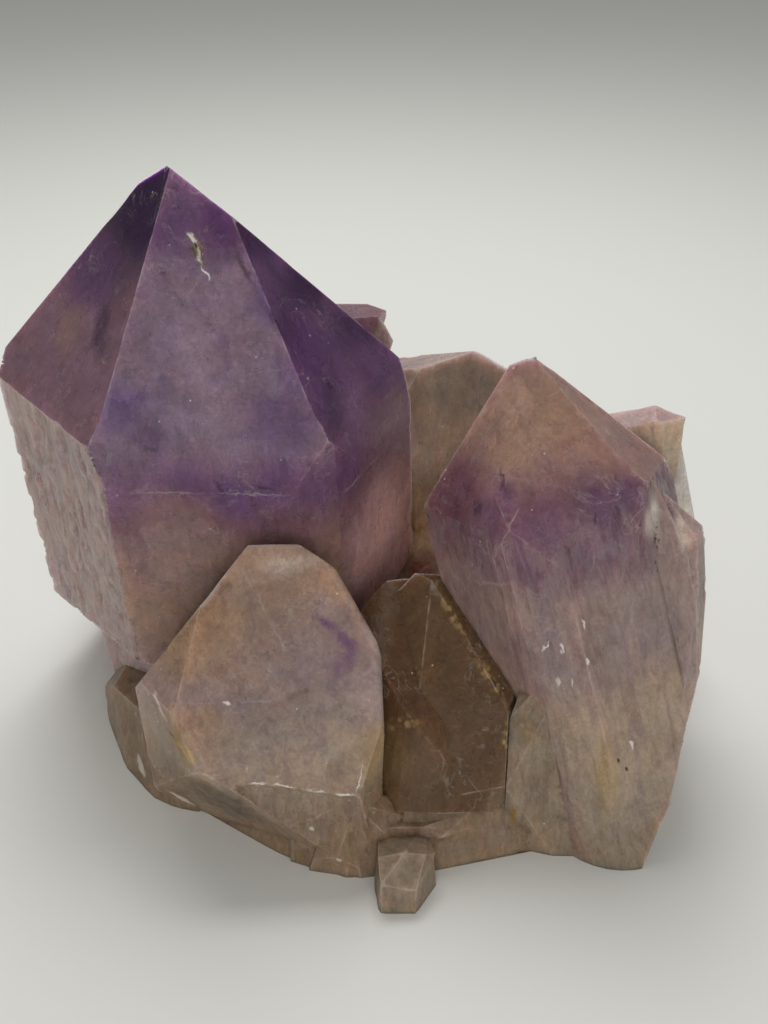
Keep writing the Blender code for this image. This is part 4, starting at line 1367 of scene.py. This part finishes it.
@dataclass(frozen=True)
class QuartzFinish:
    """Cloudy amethyst: see-through under a veined, mottled body colour, satin faces and frosted sides."""

    markings: tuple[Marking, ...] = ()
    clearness: float = 0.22
    refraction: float = 1.54
    specular: float = 0.15
    cloudiness: float = 0.85
    cloud_depth: float = 0.006
    gain: float = 1.65
    absorbed: Colour = (0.80, 0.70, 0.80)
    absorption: float = 26.0

    def material(self) -> bpy.types.Material:
        """Build the node tree.

        Returns:
            The finished material.
        """
        material = bpy.data.materials.new("cloudy_amethyst")
        sheet = Sheet(material)
        shader = sheet.add("ShaderNodeBsdfPrincipled")
        outlet = sheet.add("ShaderNodeOutputMaterial")
        sheet.feed(outlet.inputs["Surface"], shader.outputs["BSDF"])
        inside = sheet.add("ShaderNodeVolumeAbsorption")
        inside.inputs["Color"].default_value = (*self.absorbed, 1)
        inside.inputs["Density"].default_value = self.absorption
        sheet.feed(outlet.inputs["Volume"], inside.outputs["Volume"])
        surface = sheet.add("ShaderNodeAttribute", attribute_name="quartz_surface")
        channels = sheet.add("ShaderNodeSeparateColor")
        sheet.feed(channels.inputs[0], surface.outputs["Color"])
        frost = channels.outputs[2]
        even = sheet.place()
        upright = sheet.along_crystal((1, 1, 0.13))
        colour = self.body_colour(sheet, even, upright, frost)
        colour = self.edged(sheet, colour, even, channels.outputs[0], channels.outputs[1])
        colour = self.marked(sheet, colour, even)
        sheet.feed(shader.inputs["Base Color"], colour)
        haze = sheet.grain(even, 0.3, 5)
        gloss = sheet.sum("ADD", sheet.stretch(haze, 0.3, 0.7, 0.24, 0.38), sheet.sum("MULTIPLY", frost, 0.24))
        sheet.feed(shader.inputs["Roughness"], gloss)
        sheet.feed(shader.inputs["Normal"], self.relief(sheet, even, upright, frost))
        shader.inputs["IOR"].default_value = self.refraction
        shader.inputs["Specular IOR Level"].default_value = self.specular
        shader.inputs["Transmission Weight"].default_value = self.clearness
        shader.inputs["Subsurface Weight"].default_value = self.cloudiness
        shader.inputs["Subsurface Radius"].default_value = (1.0, 0.8, 1.0)
        shader.inputs["Subsurface Scale"].default_value = self.cloud_depth
        return material

    def body_colour(self, sheet: Sheet, even: bpy.types.NodeSocket, upright: bpy.types.NodeSocket,
                    frost: bpy.types.NodeSocket) -> bpy.types.NodeSocket:
        """The colour zones with mottling, violet wisps, pale veils and flecks.

        Args:
            sheet: the node tree.
            even: coordinates in millimetres.
            upright: the same, drawn out along the crystals.
            frost: 1 on an etched side.

        Returns:
            The colour's socket.
        """
        tint = sheet.add("ShaderNodeAttribute", attribute_name="quartz_tint").outputs["Color"]
        bright = sheet.blend(1.0, tint, (self.gain, self.gain, self.gain, 1), "MULTIPLY")
        mottle = sheet.stretch(sheet.grain(even, 0.14, 8, 0.66, 0.6), 0.28, 0.72, 0.84, 1.17)
        smoke = sheet.stretch(sheet.grain(sheet.along_crystal((1, 1, 0.35)), 0.42, 8, 0.7, 1.6), 0.3, 0.7, 0.84, 1.15)
        fine = sheet.stretch(sheet.grain(even, 1.6, 6, 0.72), 0.25, 0.75, 0.84, 1.17)
        patches = sheet.sum("MULTIPLY", mottle, sheet.sum("MULTIPLY", smoke, fine))
        colour = sheet.blend(1.0, bright, self.grey(sheet, patches), "MULTIPLY")
        hue = sheet.stretch(sheet.grain(even, 0.1, 4, 0.5, 0.9), 0.35, 0.65)
        colour = sheet.blend(1.0, colour, sheet.blend(hue, (1.03, 0.985, 0.96, 1), (0.97, 0.995, 1.05, 1)), "MULTIPLY")
        wisp = sheet.stretch(sheet.grain(upright, 0.3, 8, 0.7, 1.3), 0.48, 0.66, 0.0, 0.6)
        colour = sheet.blend(wisp, colour, sheet.blend(1.0, colour, (0.74, 0.66, 0.84, 1), "MULTIPLY"))
        veil = sheet.sum("ABSOLUTE", sheet.sum("SUBTRACT", sheet.grain(even, 0.16, 3, 0.5, 1.4), 0.5))
        veil = sheet.stretch(veil, 0.0, 0.02, 0.3, 0.0)
        veil = sheet.sum("MULTIPLY", veil, sheet.stretch(sheet.grain(even, 0.09, 5, 0.7), 0.46, 0.62))
        colour = sheet.blend(veil, colour, (*PALE_QUARTZ, 1))
        fleck = sheet.add("ShaderNodeTexVoronoi", feature="F1")
        sheet.feed(fleck.inputs["Vector"], even)
        fleck.inputs["Scale"].default_value = 0.42
        spots = sheet.stretch(fleck.outputs["Distance"], 0.03, 0.1, 0.6, 0.0)
        spots = sheet.sum("MULTIPLY", spots, sheet.stretch(sheet.grain(even, 0.2, 2), 0.54, 0.62))
        colour = sheet.blend(spots, colour, (*FLECK_WHITE, 1))
        speck = sheet.add("ShaderNodeTexVoronoi", feature="F1")
        sheet.feed(speck.inputs["Vector"], sheet.along_crystal((1, 1, 0.5)))
        speck.inputs["Scale"].default_value = 0.55
        dark = sheet.stretch(speck.outputs["Distance"], 0.05, 0.16, 0.5, 0.0)
        dark = sheet.sum("MULTIPLY", dark, sheet.stretch(sheet.grain(even, 0.13, 4, 0.6), 0.5, 0.6))
        colour = sheet.blend(dark, colour, sheet.blend(1.0, colour, (0.55, 0.42, 0.55, 1), "MULTIPLY"))
        short = sheet.along_crystal((1, 1, 0.28))
        streak = sheet.stretch(sheet.grain(short, 0.9, 6, 0.66, 0.5), 0.44, 0.56)
        colour = sheet.blend(sheet.sum("MULTIPLY", sheet.sum("MULTIPLY", streak, frost), 0.42), colour, (*PALE_QUARTZ, 1))
        gap = sheet.stretch(sheet.grain(short, 0.55, 5, 0.7, 0.8), 0.56, 0.64, 0.0, 0.5)
        shade = sheet.blend(1.0, colour, (0.62, 0.5, 0.48, 1), "MULTIPLY")
        return sheet.blend(sheet.sum("MULTIPLY", gap, frost), colour, shade)

    def edged(self, sheet: Sheet, colour: bpy.types.NodeSocket, even: bpy.types.NodeSocket,
              from_ridge: bpy.types.NodeSocket, from_crease: bpy.types.NodeSocket) -> bpy.types.NodeSocket:
        """Painted light through the thin quartz beside outward edges, pale rims on them that are partly real wear and
        partly painted highlight, and painted shade in the inward creases.

        Args:
            sheet: the node tree.
            colour: the body colour.
            even: coordinates in millimetres.
            from_ridge: distance from an outward edge, as a quarter of its millimetres.
            from_crease: distance from an inward edge, on the same scale.

        Returns:
            The colour's socket.
        """
        patchy = sheet.grain(even, 0.3, 4)
        thin = sheet.stretch(from_ridge, 0.0, 1.0, 0.75, 0.0)
        colour = sheet.blend(thin, colour, sheet.blend(1.0, colour, (1.16, 1.10, 1.05, 1), "MULTIPLY"))
        # Pale rims along outward edges: partly real wear, partly painted highlight.
        rim = sheet.stretch(from_ridge, 0.0, 0.07, 1.0, 0.0)
        rim = sheet.sum("MULTIPLY", rim, sheet.stretch(patchy, 0.42, 0.62, 0.05, 0.4))
        colour = sheet.blend(rim, colour, (*PALE_QUARTZ, 1))
        # Painted shade: darkens the colour towards a dark brown in the inward creases, patchily.
        crease_shade = sheet.stretch(from_crease, 0.0, 0.3, 1.0, 0.0)
        crease_shade = sheet.sum("MULTIPLY", crease_shade, sheet.stretch(patchy, 0.4, 0.6, 0.05, 0.38))
        return sheet.blend(crease_shade, colour, (*CREASE_SHADE, 1))

    def marked(self, sheet: Sheet, colour: bpy.types.NodeSocket, even: bpy.types.NodeSocket) -> bpy.types.NodeSocket:
        """Scratches, ledges, chips, crusts and stains at their own places.

        Args:
            sheet: the node tree.
            colour: the body colour.
            even: coordinates in millimetres.

        Returns:
            The colour's socket.
        """
        wobble = sheet.add("ShaderNodeTexNoise")
        sheet.feed(wobble.inputs["Vector"], even)
        wobble.inputs["Scale"].default_value = 0.9
        wobble.inputs["Detail"].default_value = 4
        centred = sheet.add("ShaderNodeVectorMath", operation="SUBTRACT")
        sheet.feed(centred.inputs[0], wobble.outputs["Color"])
        centred.inputs[1].default_value = (0.5, 0.5, 0.5)
        shifted = sheet.add("ShaderNodeVectorMath", operation="MULTIPLY_ADD")
        sheet.feed(shifted.inputs[0], centred.outputs[0])
        shifted.inputs[1].default_value = (1.6, 1.6, 1.6)
        sheet.feed(shifted.inputs[2], even)
        for marking in self.markings:
            place = shifted.outputs[0] if marking.ragged else even
            amount = sheet.sum("MULTIPLY", self.mask(sheet, place, marking), marking.strength)
            if marking.grains:
                grains = sheet.add("ShaderNodeTexVoronoi", feature="F1")
                sheet.feed(grains.inputs["Vector"], even)
                grains.inputs["Scale"].default_value = marking.grains
                amount = sheet.sum("MULTIPLY", amount, sheet.stretch(grains.outputs["Distance"], 0.35, 0.6, 1.0, 0.0))
            colour = sheet.blend(amount, colour, (*marking.colour, 1))
        return colour

    def mask(self, sheet: Sheet, place: bpy.types.NodeSocket, marking: Marking) -> bpy.types.NodeSocket:
        """1 on a marking's marks and 0 elsewhere."""
        total = None
        for mark in marking.marks:
            middle, turn, half = mark.egg()
            egg = sheet.add("ShaderNodeMapping", vector_type="TEXTURE")
            sheet.feed(egg.inputs["Vector"], place)
            egg.inputs["Location"].default_value = middle
            egg.inputs["Rotation"].default_value = turn
            egg.inputs["Scale"].default_value = half
            length = sheet.add("ShaderNodeVectorMath", operation="LENGTH")
            sheet.feed(length.inputs[0], egg.outputs["Vector"])
            one = sheet.stretch(length.outputs["Value"], marking.soft, 1.0, 1.0, 0.0)
            total = one if total is None else sheet.sum("MAXIMUM", total, one)
        return total

    def grey(self, sheet: Sheet, value: bpy.types.NodeSocket) -> bpy.types.NodeSocket:
        """One value as a grey colour."""
        node = sheet.add("ShaderNodeCombineColor")
        for socket in node.inputs[:3]:
            sheet.feed(socket, value)
        return node.outputs[0]

    def relief(self, sheet: Sheet, even: bpy.types.NodeSocket, upright: bpy.types.NodeSocket,
               frost: bpy.types.NodeSocket) -> bpy.types.NodeSocket:
        """Fine relief: a faint unevenness on grown faces and upright pits on etched ones.

        Args:
            sheet: the node tree.
            even: coordinates in millimetres.
            upright: the same, drawn out along the crystals.
            frost: 1 on an etched side.

        Returns:
            The normal's socket.
        """
        skin = sheet.add("ShaderNodeBump")
        skin.inputs["Strength"].default_value = 0.4
        skin.inputs["Distance"].default_value = 0.0003
        sheet.feed(skin.inputs["Height"], sheet.grain(even, 0.9, 8, 0.68))
        pits = sheet.add("ShaderNodeBump")
        pits.inputs["Distance"].default_value = 0.0006
        sheet.feed(pits.inputs["Strength"], sheet.stretch(frost, 0.0, 1.0, 0.05, 0.9))
        sheet.feed(pits.inputs["Height"], sheet.grain(sheet.along_crystal((1, 1, 0.28)), 0.9, 6, 0.66, 0.5))
        sheet.feed(pits.inputs["Normal"], skin.outputs["Normal"])
        return pits.outputs["Normal"]


@dataclass(frozen=True)
class Studio:
    """Plain pale floor, soft light and the camera at the photograph's angle."""

    camera_at: Point = (5.54, -193.33, 165.0)
    pitch: float = 32.0
    focal: float = 56.25

    def build(self) -> None:
        """Add the floor, the lights and the camera."""
        deselect()
        bpy.ops.mesh.primitive_plane_add(size=6.0, location=(0, 0, 0))
        floor = name_piece("pale_floor")
        floor.data.materials.append(self.floor_paint())
        sky = bpy.data.worlds.new("soft_room")
        bpy.context.scene.world = sky
        sky.use_nodes = True
        sky.node_tree.nodes["Background"].inputs["Color"].default_value = (0.93, 0.96, 0.94, 1)
        sky.node_tree.nodes["Background"].inputs["Strength"].default_value = 0.33
        self.lamp("overhead_panel", (-0.04, 0.23, 0.5), (0, 0, 0.03), 0.3, 1.8)
        front = self.lamp("front_panel", (0.08, -1.22, 0.40), (0, 0, 0.04), 1.0, 9.0)
        front.visible_glossy = False
        deselect()
        bpy.ops.object.camera_add(
            location=Vector(self.camera_at) * MM, rotation=(math.radians(90 - self.pitch), 0, 0))
        camera = bpy.context.object
        camera.data.lens = self.focal
        camera.data.sensor_width = 36.0
        camera.data.sensor_fit = "HORIZONTAL"
        camera.data.clip_start = 0.01
        bpy.context.scene.camera = camera

    def lamp(self, name: str, place: Point, aim: Point, size: float, watts: float) -> bpy.types.Object:
        """Add one square soft lamp.

        Args:
            name: the lamp's name.
            place: where it hangs, in metres.
            aim: the point that it faces.
            size: its side, in metres.
            watts: its power.

        Returns:
            The lamp.
        """
        deselect()
        turn = (Vector(aim) - Vector(place)).to_track_quat("-Z", "Y").to_euler()
        bpy.ops.object.light_add(type="AREA", location=place, rotation=turn)
        lamp = bpy.context.object
        lamp.name = name
        lamp.data.size = size
        lamp.data.energy = watts
        return lamp

    def floor_paint(self) -> bpy.types.Material:
        """Matt pale paint."""
        paint = bpy.data.materials.new("pale_floor_paint")
        paint.use_nodes = True
        shader = paint.node_tree.nodes["Principled BSDF"]
        shader.inputs["Base Color"].default_value = (0.76, 0.75, 0.71, 1)
        shader.inputs["Roughness"].default_value = 0.6
        return paint


def amethyst() -> Cluster:
    """The amethyst cluster with all its crystals, rocks, chips and stains."""
    return Cluster(
        name="quartz_cluster",
        crystals=[
            BIG, RIGHT, FRONT, MIDDLE, RIGHT_SMALL, RIGHT_BACK, RIGHT_BACK_LOW, BACK_CENTRE, SMALL_BACK,
            SMALL_BACK_SIDE, REAR_LEFT, REAR_MIDDLE, REAR_RIGHT, REAR_LOW, REAR_LOW_LEFT, SIDE_LOW],
        rocks=[BASE, LEFT_LUMP, ROOT, RIGHT_FOOT, SEAM, SEAM_RIGHT, WEB, SHELF, REAR_MATRIX, NUB],
        chips=[Chip((-26.4, 1.6, 98.1), (1.0, 1.1, 2.2))],
        stains=STAINS)


def main() -> None:
    """Build the cluster, dress it and set the studio."""
    logging.basicConfig(level=logging.INFO, format="%(message)s", stream=sys.stdout)
    bpy.context.scene.view_settings.view_transform = "Standard"
    Studio().build()
    cluster = amethyst()
    cluster.grow()
    cluster.report()
    cluster.refine()
    skin = cluster.read_skin()
    cluster.etch(skin)
    cluster.colour(skin)
    cluster.dress(QuartzFinish(MARKINGS))
    cluster.report()
    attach(cluster.body, "root")
    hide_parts("amethyst_cluster")


if __name__ == "__main__":
    main()
